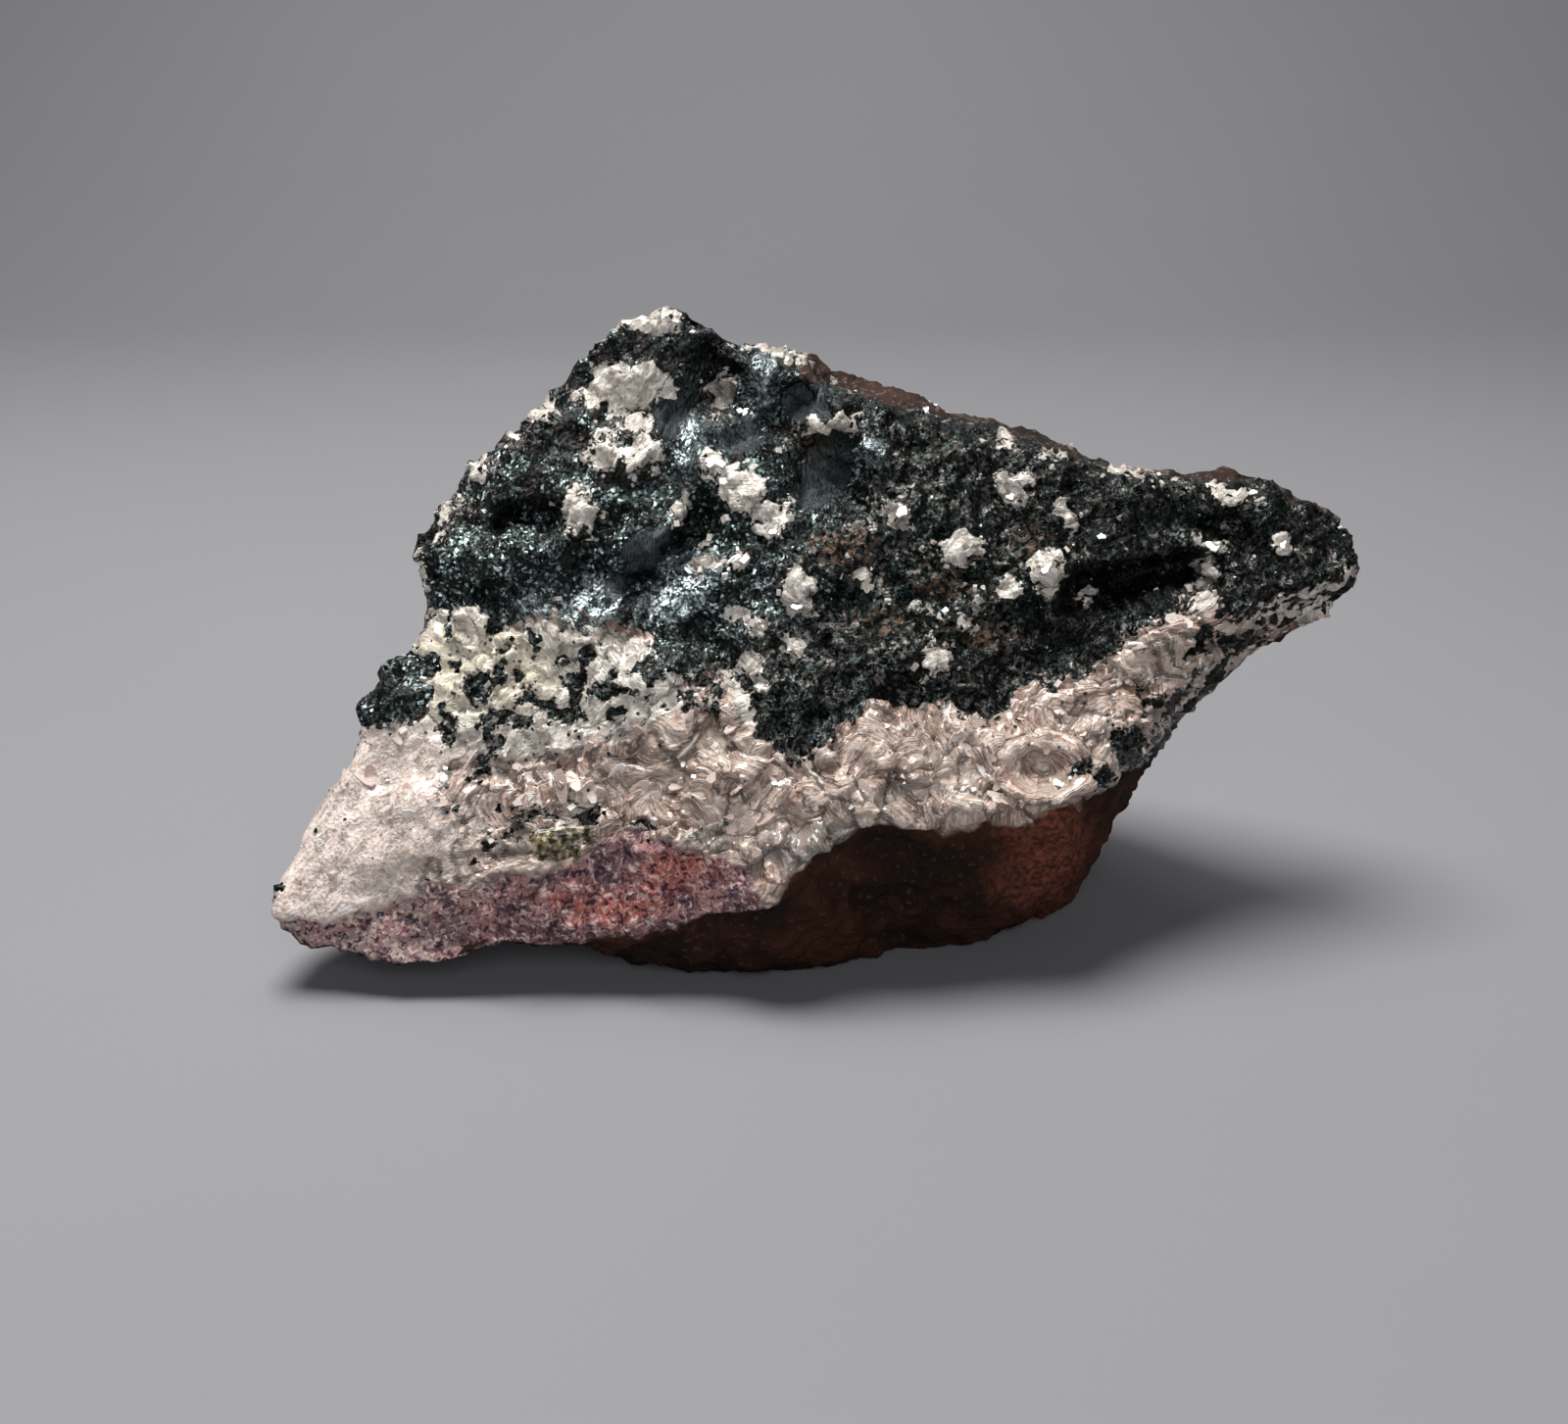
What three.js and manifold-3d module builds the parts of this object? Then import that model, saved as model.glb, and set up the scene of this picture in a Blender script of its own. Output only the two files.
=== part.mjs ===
// A hand-sized specimen of berzelianite rock: a black selenide mass on a band of pink calcite,
// over a brown weathered underside that ends in a small flat spot. Millimetres, +X right, +Y back, +Z up,
// with the origin at the middle of the flat spot.
//
// The rock is one closed skin made of two sheets that share a rim. The rim is the outline seen from EYE.
// A point of a sheet is given by a and b, its millimetres right and up on the layout plane in front of EYE,
// and by how far back it lies. The front sheet holds the faces, folds, ledges, lumps and grooves seen from
// there, and the back sheet holds the fracture planes behind them.
import * as THREE from "three";
import { ImprovedNoise } from "three/addons/math/ImprovedNoise.js";
import { mergeVertices } from "three/addons/utils/BufferGeometryUtils.js";
import Module from "manifold-3d";

// Driving dimensions
const EYE = new THREE.Vector3(0, -235, 110);
const LAYOUT_DISTANCE = 243;
const LAYOUT_TILT = THREE.MathUtils.degToRad(19.6);
const HUB = [0, 5];
const FRONT_RINGS = 33;
const BACK_RINGS = 17;
const RIM_POINTS = 6 * FRONT_RINGS;
const RIM_ROUNDING = 0.07;
const RIM_BEHIND = { least: 0.8, most: 3 };
const THINNEST = 1.5;
const ROUGHNESS = { front: 0.4, back: 1.1, size: 7.5 };
const WANDER = { reach: 0.7, size: 5.5 };
const CHIPS = { front: { size: 8.5, depth: 1.5, tilt: 0.2 }, back: { size: 15, depth: 2.6, tilt: 0.2 } };
const BELOW = { side: 300, deep: 100 };

// Shares that shape the relief: the ends of a line where its relief fades, a lump's flat top and its foot in
// half-widths, a chip's wander, width and sinking, and how square the back turns down to the rim
const LINE_ENDS = 0.08;
const LUMP_EDGE = { flat: 0.35, foot: 1.25 };
const CHIP_SHAPE = { wander: 0.8, width: 0.9, sunk: 0.6 };
const BACK_FULLNESS = 0.55;

// The outline: a, b and how far back the rim lies there, clockwise from the peak
const OUTLINE = [
  [-19.3, 48.0, 6],
  [-16.6, 49.8, 7],
  [-12.2, 49.8, 8],
  [-8.0, 46.9, 9],
  [-4.6, 45.2, 9],
  [1.6, 44.8, 10],
  [5.8, 42.4, 12],
  [11.0, 41.3, 14],
  [17.0, 38.5, 14],
  [26.3, 35.8, 14],
  [34.8, 33.4, 13],
  [38.2, 31.4, 13],
  [49.2, 29.9, 12],
  [57.8, 29.4, 10],
  [64.1, 27.0, 8],
  [68.7, 23.9, 5],
  [71.4, 19.8, 3],
  [71.8, 18.1, 2],
  [69.2, 14.4, 1],
  [66.4, 11.3, 1],
  [60.0, 8.6, 1],
  [54.3, 4.0, -1],
  [50.2, 1.0, -3],
  [46.2, -4.8, -4],
  [44.4, -6.6, -2],
  [43.8, -9.4, -1],
  [42.0, -12.8, 0],
  [40.3, -14.3, 0],
  [39.4, -17.8, 1],
  [36.5, -22.0, -1],
  [32.2, -25.5, -5],
  [28.0, -26.8, -9],
  [24.4, -28.9, -12],
  [17.0, -30.7, -14],
  [9.7, -32.4, -15],
  [2.4, -33.3, -16],
  [-4.9, -33.3, -18],
  [-12.2, -32.4, -21],
  [-18.3, -31.0, -24],
  [-24.4, -29.8, -27],
  [-28.1, -29.1, -29],
  [-32.4, -28.6, -30],
  [-36.3, -29.2, -31],
  [-40.1, -30.3, -31],
  [-41.8, -31.2, -31],
  [-47.2, -31.3, -31],
  [-54.1, -29.8, -30],
  [-60.7, -27.9, -28],
  [-63.5, -26.0, -26],
  [-63.2, -23.5, -25],
  [-60.7, -17.8, -22],
  [-55.3, -8.8, -17],
  [-52.8, -3.0, -13],
  [-53.1, -1.5, -13],
  [-52.2, 1.3, -12],
  [-48.3, 6.1, -10],
  [-45.0, 9.2, -8],
  [-43.5, 13.2, -6],
  [-46.0, 18.6, -4],
  [-42.0, 26.7, -1],
  [-36.7, 32.6, 2],
  [-31.7, 36.2, 4],
  [-26.1, 42.5, 5],
  [-21.0, 47.2, 5],
];

// Front faces: how far back the face lies at a = b = 0, and its change for each millimetre right and up.
// The front follows whichever of them lies farthest back.
const FRONT_FACES = [
  { name: "middle and right", at: -22.0, right: 0.17, up: 0.53 },
  { name: "left wing", at: -19.9, right: -0.12, up: 0.5 },
];

// Fracture planes of the back and underside: the way each looks, and its distance from the origin
const BACK_FACES = [
  { name: "back", looks: [0.1, 1, 0.05], distance: 37 },
  { name: "upper back", looks: [-0.08, 0.76, 0.65], distance: 57 },
  { name: "left back", looks: [-0.88, 0.45, 0.15], distance: 51 },
  { name: "right back", looks: [0.66, 0.75, 0.1], distance: 55 },
  { name: "under the body", looks: [0.1, 0.56, -0.82], distance: 13 },
  { name: "under the wing", looks: [-0.21, 0.1, -0.97], distance: 4.5 },
  { name: "under the right end", looks: [0.68, 0.25, -0.69], distance: 24.5 },
];

// Folds: past the line, on its right-hand side, the front turns away by slope
const RIGHT_CREST = [[46.3, -2.3], [48.7, 3.2], [53, 9.3], [59.7, 13.6], [71.3, 18.1], [90, 25]];
const FOLDS = [
  {
    // the keel, where the front turns under to the brown wall
    slope: 1.2,
    line: [
      [-80, -34], [-45, -32.4], [-36, -30], [-28, -28.4], [-18.3, -26.8], [-7.3, -24.9], [-1.2, -22.4],
      [3.7, -17.5], [8.5, -13.9], [13.4, -13.2], [19.5, -14.3], [25.6, -13.9], [31.7, -13.3],
      [36.5, -10.8], [39, -9], [43.8, -5.4],
      ...RIGHT_CREST,
    ],
  },
  {
    // the corner of the wall, and above it the edge of the streaked side face
    slope: 1.3,
    line: [[22, -34], [27, -27], [31, -20], [36, -14], [43, -6], ...RIGHT_CREST],
  },
  {
    // the crest along the top right, with the brown top face behind it
    slope: 4.2,
    line: [
      [85, 12], [73, 19.5], [67, 24], [60, 27.4], [52.4, 27.9], [41.4, 29.2], [30.5, 33.0], [19.5, 36],
      [9, 38.4], [3, 39.9], [2, 60],
    ],
  },
  {
    // the wing turns down a little towards its lower edge
    slope: 0.3,
    line: [
      [-85, -27], [-62, -24.5], [-48.7, -21.8], [-30, -19], [-22, -16], [-12.2, -16.4], [-4.9, -19],
      [-2, -36],
    ],
  },
];

// Ledges: on the right-hand side of the line the front drops back by depth within ramp, and comes back
// to its face over reach
const LEDGES = [
  { name: "peak ledge", depth: 5.5, ramp: 0.9, reach: 17,
    line: [
      [3, 34.8], [-1.2, 34.8], [-3.7, 35.9], [-10.1, 36], [-17.1, 35.8], [-20.5, 36.5], [-23.9, 37.4],
      [-27, 36.6],
    ] },
  { name: "cavity roof", depth: 6.5, ramp: 0.9, reach: 6.5,
    line: [[34.8, 17.5], [39, 17.8], [41, 19], [47.7, 20], [52.5, 19.4]] },
  { name: "cleft", depth: 3.4, ramp: 0.8, reach: 7,
    line: [[-20, 14.2], [-18, 16.4], [-15.2, 18.3], [-12.7, 20.9], [-11.6, 23.7], [-11.3, 26.6]] },
  { name: "calcite top edge", depth: 1.7, ramp: 0.8, reach: 7,
    line: [[28, -1.7], [24.4, -1.1], [15.8, 0.1], [8.5, -0.3], [3.7, -4.2]] },
  { name: "calcite corner", depth: 1.8, ramp: 0.9, reach: 6,
    line: [[46, 9], [40, 5], [34, 4.6], [29, 2.6], [28, -1.7]] },
  { name: "red zone edge", depth: 0.9, ramp: 0.8, reach: 14,
    line: [[-4.9, -18.8], [-12.2, -16.3], [-21.9, -15.7], [-29.2, -18.8], [-39, -19.2]] },
  { name: "grey shelf", depth: 1.5, ramp: 0.8, reach: 5,
    line: [[4, -15.4], [0, -15.0], [-7.3, -16.2], [-12, -15]] },
];

// Lumps: middle, half-widths along and across, turn in degrees and height towards the viewer.
// A negative height is a hollow.
const LUMPS = [
  { name: "peak hollow", at: [-10.6, 40.2], half: [3.7, 5.2], turn: 0, height: -3.6 },
  { name: "peak calcite", at: [-20.5, 40.6], half: [5.6, 3.3], turn: 8, height: 2.6 },
  { name: "peak cap", at: [-15.5, 48.2], half: [4.5, 2.6], turn: 0, height: 1.6 },
  { name: "second knob", at: [-1.5, 42], half: [4.2, 3.4], turn: 20, height: 2.4 },
  { name: "ledge cave", at: [0.9, 34.4], half: [2.8, 1.2], turn: 0, height: -3.2 },
  { name: "left hollow", at: [-32.6, 24.4], half: [4.8, 2.2], turn: 10, height: -3.6 },
  { name: "left bulge", at: [-34.5, 19.4], half: [9.5, 3.6], turn: 6, height: 3.2 },
  { name: "upper left crag", at: [-34, 30.5], half: [4.5, 3.2], turn: 45, height: 1.6 },
  { name: "chip", at: [-16.6, 21.2], half: [4.6, 4.0], turn: 55, height: 1.8 },
  { name: "blue lump", at: [-9.8, 16.4], half: [5.6, 4.2], turn: 30, height: 2.0 },
  { name: "scoop", at: [5.2, 29.6], half: [5.6, 5.4], turn: -30, height: -2.6 },
  { name: "smooth scoop", at: [-4.6, 34.0], half: [4.0, 2.0], turn: 0, height: -1.0 },
  { name: "right hollow", at: [55.6, 23.0], half: [5.2, 2.2], turn: -6, height: -2.6 },
  { name: "right shoulder", at: [62, 22.5], half: [6, 3], turn: -20, height: 1.2 },
  { name: "cavity lip", at: [47.6, 10.2], half: [6.4, 3.4], turn: 25, height: 2.6 },
  { name: "lower dark hollow", at: [34, 11], half: [7, 4], turn: 10, height: -1.6 },
  { name: "swirl rim", at: [32, -6.6], half: [7.5, 5.4], turn: -8, height: 2.6 },
  { name: "swirl bowl", at: [32.4, -7.4], half: [4.6, 2.8], turn: -8, height: -3.2 },
  { name: "calcite lip", at: [24.4, -12], half: [9, 2.0], turn: 0, height: 1.5 },
  { name: "calcite knob", at: [-7.6, -7.6], half: [4.0, 2.8], turn: 20, height: 1.9 },
  { name: "calcite fan", at: [15, -5.5], half: [5.5, 3.4], turn: -10, height: 1.3 },
  { name: "calcite shelf", at: [-18, 4.6], half: [7, 2.6], turn: 28, height: 1.5 },
  { name: "yellow calcite", at: [-37.5, 5.2], half: [6.5, 2.6], turn: 32, height: 1.6 },
  { name: "olive pocket", at: [-31, -16.2], half: [6, 2.4], turn: 4, height: 1.2 },
  { name: "left pit", at: [-35.4, -7.6], half: [3.0, 1.6], turn: 20, height: -1.9 },
  { name: "middle pit", at: [-28.0, -7.4], half: [3.2, 1.8], turn: 25, height: -1.6 },
  { name: "band valley", at: [-20, -10], half: [9, 2.6], turn: 10, height: -1.2 },
  { name: "wing swell", at: [-48, -15], half: [11, 5.5], turn: 30, height: 1.4 },
  { name: "left dark knob", at: [-50.2, 2.2], half: [3.2, 4.2], turn: -35, height: 1.8 },
  { name: "wall bulge", at: [22, -21.5], half: [15, 5.5], turn: 0, height: 1.6 },
  { name: "wall corner", at: [36, -17.5], half: [4.5, 5.5], turn: 10, height: 2.0 },
];

// Calcite crystals that stand out of the dark mass: middle, half-widths, turn and height
const CRYSTALS = [
  [-21.4, 33.0, 1.7, 3.0, 0, 1.5], [-17.6, 31.2, 2.2, 3.2, -10, 1.5], [-25.2, 24.3, 2.2, 2.9, 15, 2.8],
  [-8.6, 30.6, 1.6, 1.5, 0, 1.0], [-3.6, 26.6, 5.2, 3.2, -38, 1.7], [0.9, 23.4, 2.0, 1.8, 0, 1.0],
  [-5.8, 18.4, 2.3, 1.7, 40, 1.2], [2.4, 14.8, 2.2, 3.2, -10, 1.7], [14.6, 25.2, 2.0, 1.8, 0, 1.5],
  [22.5, 20.0, 2.8, 2.2, 15, 1.5], [32.9, 17.9, 3.0, 2.1, 30, 1.8], [29.2, 27.5, 1.9, 1.8, 0, 1.0],
  [6.7, 36.0, 2.6, 1.8, 20, 2.2], [-38.4, 11.2, 2.1, 2.7, -10, 1.8], [54.8, 26.6, 3.4, 1.5, -5, 1.4],
  [18.3, 12.3, 2.2, 1.4, -10, 1.1], [-16.6, 26.4, 1.4, 2.6, -20, 0.9], [15.8, 15.6, 2.0, 1.6, 20, 0.9],
  [-26.6, 9.4, 2.0, 2.2, 0, 1.2], [-3.2, 9.3, 3.2, 2.2, 20, 1.1], [43.5, 24, 1.8, 1.2, 0, 0.8],
  [61, 18.6, 2.6, 1.3, 0, 0.9], [35.6, 24.8, 1.5, 2.4, 15, 0.9], [-31, 9, 1.5, 1.5, 0, 0.8],
];

// Grooves: a line, the half-width and the depth
const GROOVES = [
  { name: "cleft floor", half: 0.9, depth: 2.4,
    line: [[-11.0, 26.2], [-11.0, 23.7], [-12.2, 20.7], [-14.8, 17.9], [-17.6, 16.0], [-19.8, 13.9]] },
  { name: "bulge foot", half: 1.2, depth: 1.8, line: [[-43.5, 16.6], [-39, 15.4], [-34.7, 15.2]] },
  { name: "bulge side", half: 1.3, depth: 2.2,
    line: [[-21.6, 26], [-22.4, 22.8], [-23.6, 20.3], [-25.2, 16.4]] },
  { name: "crag crack", half: 0.8, depth: 1.6, line: [[-33, 28.4], [-30.8, 31.2], [-29.2, 33.6]] },
  { name: "rib side", half: 1.2, depth: 2.0, line: [[-5.2, 45], [-6.0, 41.4], [-7.6, 37.2]] },
  { name: "scoop rim", half: 0.8, depth: 1.2, line: [[-0.6, 33], [2.2, 29], [4.4, 25.6]] },
  { name: "wall seam", half: 1.4, depth: 1.2, line: [[27, -15], [28, -20], [27.2, -26]] },
  { name: "side seam", half: 0.8, depth: 0.9, line: [[70, 16.4], [60.5, 11.4], [54.6, 7.2], [50, 2.4]] },
];

const noise = new ImprovedNoise();
const smooth = THREE.MathUtils.smoothstep;

// Point of the rock on the ray through a, b on the layout plane, back millimetres behind the origin
function place(a, b, back) {
  const ray = new THREE.Vector3(
    a,
    LAYOUT_DISTANCE * Math.cos(LAYOUT_TILT) + b * Math.sin(LAYOUT_TILT),
    b * Math.cos(LAYOUT_TILT) - LAYOUT_DISTANCE * Math.sin(LAYOUT_TILT),
  );
  return ray.multiplyScalar((back - EYE.y) / ray.y).add(EYE);
}

// Distance from a, b to a polyline, positive on its right-hand side, and the share of the line run
function offsetFrom(line, a, b) {
  let best = { distance: Infinity, side: 1, run: 0 };
  line.slice(1).forEach((end, i) => {
    const start = line[i];
    const along = [end[0] - start[0], end[1] - start[1]];
    const to = [a - start[0], b - start[1]];
    const share = (to[0] * along[0] + to[1] * along[1]) / (along[0] ** 2 + along[1] ** 2);
    const held = THREE.MathUtils.clamp(share, 0, 1);
    const distance = Math.hypot(to[0] - held * along[0], to[1] - held * along[1]);
    if (distance < best.distance) {
      const side = to[0] * along[1] - to[1] * along[0] < 0 ? -1 : 1;
      best = { distance, side, run: (i + held) / (line.length - 1) };
    }
  });
  return best;
}

// 1 in the middle of a line and 0 past its ends
function taper(run) {
  return smooth(run, 0, LINE_ENDS) * (1 - smooth(run, 1 - LINE_ENDS, 1));
}

// Height of a rounded lump at a, b
function lumpHeight([middleA, middleB, halfAlong, halfAcross, turn, height], a, b) {
  const angle = THREE.MathUtils.degToRad(turn);
  const along = (a - middleA) * Math.cos(angle) + (b - middleB) * Math.sin(angle);
  const across = (b - middleB) * Math.cos(angle) - (a - middleA) * Math.sin(angle);
  const share = Math.hypot(along / halfAlong, across / halfAcross);
  return height * (1 - smooth(share, LUMP_EDGE.flat, LUMP_EDGE.foot));
}

// A fixed number from -0.5 to 0.5 for a cell of the grid
function chance(column, row, salt) {
  const wave = Math.sin(column * 127.1 + row * 311.7 + salt * 74.7) * 43758.5;
  return wave - Math.floor(wave) - 0.5;
}

// Depth of the hollow chips that broke off all over a face. Each chip is a tilted bowl, and neighbours
// meet in a sharp ridge.
function chipDepth({ size, depth, tilt }, a, b) {
  const column = Math.floor(a / size);
  const row = Math.floor(b / size);
  let deepest = 0;
  for (let i = column - 1; i <= column + 1; i++) {
    for (let j = row - 1; j <= row + 1; j++) {
      const right = a - size * (i + 0.5 + CHIP_SHAPE.wander * chance(i, j, 1));
      const up = b - size * (j + 0.5 + CHIP_SHAPE.wander * chance(i, j, 2));
      const lean = tilt * (right * chance(i, j, 3) + up * chance(i, j, 4));
      const bowl = depth * (1 + chance(i, j, 5) - (right ** 2 + up ** 2) / (CHIP_SHAPE.width * size) ** 2);
      deepest = Math.max(deepest, bowl + lean);
    }
  }
  return deepest - CHIP_SHAPE.sunk * depth;
}

// A small wander of a and b, so that no edge runs straight
function wander(a, b) {
  const { reach, size } = WANDER;
  return [
    a + 2 * reach * noise.noise(a / size, b / size, 3.3),
    b + 2 * reach * noise.noise(a / size, b / size, 9.1),
  ];
}

// Rough fractal relief of a point, from -1 to 1
function relief(point, size) {
  let sum = 0;
  for (const [octave, weight] of [[1, 0.6], [2.1, 0.28], [4.3, 0.16]]) {
    const scale = octave / size;
    sum += weight * noise.noise(point.x * scale + 11.3, point.y * scale + 4.7, point.z * scale + 8.9);
  }
  return 2 * sum;
}

function faceDepth(face, a, b) {
  return face.at + face.right * a + face.up * b;
}

// How far back the front sheet lies at a, b
function frontDepth(trueA, trueB) {
  const [a, b] = wander(trueA, trueB);
  let back = Math.max(...FRONT_FACES.map((face) => faceDepth(face, a, b)));
  back += chipDepth(CHIPS.front, a, b);
  for (const fold of FOLDS) {
    const { distance, side } = offsetFrom(fold.line, a, b);
    if (side > 0) back += fold.slope * distance;
  }
  for (const ledge of LEDGES) {
    const { distance, side, run } = offsetFrom(ledge.line, a, b);
    if (side < 0) continue;
    const drop = smooth(distance, 0, ledge.ramp) * (1 - smooth(distance, ledge.ramp, ledge.reach));
    back += ledge.depth * drop * taper(run);
  }
  for (const groove of GROOVES) {
    const { distance, run } = offsetFrom(groove.line, a, b);
    back += groove.depth * (1 - smooth(distance, 0, 2 * groove.half)) * (0.3 + 0.7 * taper(run));
  }
  for (const { at, half, turn, height } of LUMPS) back -= lumpHeight([...at, ...half, turn, height], a, b);
  for (const crystal of CRYSTALS) back -= lumpHeight(crystal, a, b);
  return back;
}

// How far back the ray through a, b leaves the rock by a fracture plane
function backDepth(a, b) {
  const ray = place(a, b, 0).sub(EYE);
  const depths = BACK_FACES.map(({ looks, distance }) => {
    const normal = new THREE.Vector3(...looks).normalize();
    const along = normal.dot(ray);
    return along > 0 ? EYE.y + (ray.y * (distance - normal.dot(EYE))) / along : Infinity;
  });
  return Math.min(...depths) - chipDepth(CHIPS.back, a, b);
}

// The rim as evenly spaced points, a little behind the front all round
function rimPoints() {
  const corners = OUTLINE.map((p) => new THREE.Vector3(...p));
  const curve = new THREE.CatmullRomCurve3(corners, true, "centripetal");
  curve.arcLengthDivisions = 4 * RIM_POINTS;
  const rim = curve.getSpacedPoints(RIM_POINTS).slice(0, RIM_POINTS);
  for (const point of rim) {
    const behindFront = frontDepth(point.x, point.y) + RIM_BEHIND.least;
    point.z = THREE.MathUtils.clamp(behindFront, point.z, point.z + RIM_BEHIND.most);
  }
  return rim;
}

// The back sheet's depth at a, b, never through the front or nearer than the rim
function behindAll(a, b, rimDepth) {
  return Math.max(backDepth(a, b), frontDepth(a, b) + THINNEST, rimDepth + THINNEST);
}

// Point of a sheet a share of the way from the hub to the rim
function sheetPoint(rim, share, depthAt, rimShare) {
  const a = HUB[0] + share * (rim.x - HUB[0]);
  const b = HUB[1] + share * (rim.y - HUB[1]);
  return place(a, b, THREE.MathUtils.lerp(depthAt(a, b, rim.z), rim.z, rimShare));
}

// Rings of points from the hub out to the rim, or back from the rim to the hub
function sheetRings(rim, rings, depthAt, shareOf, rimShareOf) {
  const made = [[place(...HUB, depthAt(...HUB, rim[0].z))]];
  for (let k = 1; k < rings; k++) {
    const count = 6 * k;
    const ring = [];
    for (let i = 0; i < count; i++) {
      const on = (i / count) * RIM_POINTS;
      const from = rim[Math.floor(on) % RIM_POINTS];
      const to = rim[(Math.floor(on) + 1) % RIM_POINTS];
      const point = from.clone().lerp(to, on % 1);
      ring.push(sheetPoint(point, shareOf(k / rings), depthAt, rimShareOf(k / rings)));
    }
    made.push(ring);
  }
  return made;
}

// Triangles between two rings of any two counts. inner and outer are lists of vertex numbers.
function zip(inner, outer, faces, turned) {
  let i = 0;
  let j = 0;
  while (i < inner.length || j < outer.length) {
    const a = inner[i % inner.length];
    const b = outer[j % outer.length];
    const outerNext = (j + 1) / outer.length <= (i + 1) / inner.length;
    const stepOuter = i >= inner.length || (j < outer.length && outerNext);
    const c = stepOuter ? outer[(j + 1) % outer.length] : inner[(i + 1) % inner.length];
    if (a !== c && b !== c) faces.push(turned ? [a, c, b] : [a, b, c]);
    if (stepOuter) j++;
    else i++;
  }
}

// The whole skin as a geometry with shared vertices
function skin() {
  const rim = rimPoints();
  const points = [];
  const faces = [];
  const number = (ring) => ring.map((point) => points.push(point) - 1);
  const rimRing = number(rim.map((p) => place(p.x, p.y, p.z)));
  const front = sheetRings(
    rim,
    FRONT_RINGS,
    frontDepth,
    (k) => k,
    (k) => smooth(k, 1 - RIM_ROUNDING, 1) ** 2,
  );
  const back = sheetRings(
    rim,
    BACK_RINGS,
    behindAll,
    (k) => Math.sin((k * Math.PI) / 2),
    (k) => 1 - Math.cos((k * Math.PI) / 2) ** BACK_FULLNESS,
  );
  for (const [sheet, turned] of [[front, true], [back, false]]) {
    const rings = [...sheet.map(number), rimRing];
    rings.slice(1).forEach((outer, k) => zip(rings[k], outer, faces, turned));
  }
  const geometry = new THREE.BufferGeometry();
  geometry.setAttribute("position", new THREE.Float32BufferAttribute(points.flatMap((p) => p.toArray()), 3));
  geometry.setIndex(faces.flat());
  return roughen(geometry, rimRing.length + front.flat().length);
}

// Pushes each vertex along its normal by fractal relief, little on the rim and front and more behind
function roughen(geometry, frontCount) {
  geometry.computeVertexNormals();
  const position = geometry.getAttribute("position");
  const normal = geometry.getAttribute("normal");
  const point = new THREE.Vector3();
  const out = new THREE.Vector3();
  for (let i = 0; i < position.count; i++) {
    point.fromBufferAttribute(position, i);
    out.fromBufferAttribute(normal, i);
    const amount = i < frontCount ? ROUGHNESS.front : ROUGHNESS.back;
    point.addScaledVector(out, amount * relief(point, ROUGHNESS.size));
    position.setXYZ(i, point.x, point.y, point.z);
  }
  return geometry;
}

const wasm = await Module();
wasm.setup();

function solidOf(geometry) {
  const bare = geometry.clone();
  bare.deleteAttribute("normal");
  bare.deleteAttribute("uv");
  const merged = mergeVertices(bare);
  return new wasm.Manifold(
    new wasm.Mesh({
      numProp: 3,
      vertProperties: merged.getAttribute("position").array,
      triVerts: Uint32Array.from(merged.index.array),
    }),
  );
}

function geometryOf(solid) {
  const mesh = solid.getMesh();
  const geometry = new THREE.BufferGeometry();
  geometry.setAttribute("position", new THREE.BufferAttribute(mesh.vertProperties, 3));
  geometry.setIndex(new THREE.BufferAttribute(mesh.triVerts, 1));
  geometry.computeVertexNormals();
  return geometry;
}

// The skin cut off flat at z = 0, which leaves the spot that the rock rests on
function rock() {
  const below = new THREE.BoxGeometry(BELOW.side, BELOW.side, BELOW.deep).translate(0, 0, -BELOW.deep / 2);
  return geometryOf(solidOf(skin()).subtract(solidOf(below)));
}

const specimen = new THREE.Group();
const stone = new THREE.Mesh(
  rock(),
  new THREE.MeshStandardMaterial({ color: 0x2e3534, roughness: 0.55, metalness: 0.15 }),
);
stone.name = "specimen";
specimen.add(stone);

export default specimen;
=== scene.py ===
import math

import bpy
import numpy as np
from mathutils import Euler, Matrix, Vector, noise


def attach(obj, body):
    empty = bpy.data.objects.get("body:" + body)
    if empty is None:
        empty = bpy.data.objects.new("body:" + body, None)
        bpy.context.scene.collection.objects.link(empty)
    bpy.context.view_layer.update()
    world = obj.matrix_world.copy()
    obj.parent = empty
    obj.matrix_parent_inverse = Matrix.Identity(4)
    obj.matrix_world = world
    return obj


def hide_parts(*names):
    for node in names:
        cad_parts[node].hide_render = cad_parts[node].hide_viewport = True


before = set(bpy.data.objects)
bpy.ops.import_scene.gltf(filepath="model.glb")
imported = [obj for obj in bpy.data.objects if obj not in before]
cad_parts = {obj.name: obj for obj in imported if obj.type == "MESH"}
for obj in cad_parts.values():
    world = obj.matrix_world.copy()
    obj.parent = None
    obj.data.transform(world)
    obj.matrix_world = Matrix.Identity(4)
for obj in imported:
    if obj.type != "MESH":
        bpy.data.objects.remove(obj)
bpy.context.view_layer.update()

MM = 0.001
EYE = np.array([0.0, -235.0, 110.0])
LAYOUT_DISTANCE = 243.0
LAYOUT_TILT = math.radians(19.6)
SKIN_LEVELS = 2
SHARE = 1.0

# The depth of a field well outside its region
FAR_BELOW = 6.0

# How far a face leans away from the eye where the hidden side begins, and how far down an overhang faces
TURNED_AWAY = 1.5
OVERHANG = 0.35

# Sizes of the noise that breaks up the regions
WANDER_SIZE = 5.0
EDGE_SIZE = 2.2
STRIP_SIZE = 2.6
PATCH_SIZE = 3.0
HIDDEN_PATCH_SIZE = 18.0

# Where the grainy left wing starts and where it is full, along x, and the way its streaks are counted
WING_START = -33.0
WING_FULL = -46.0
STREAK_WAY = (0.72, -0.35, -0.6)

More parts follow.
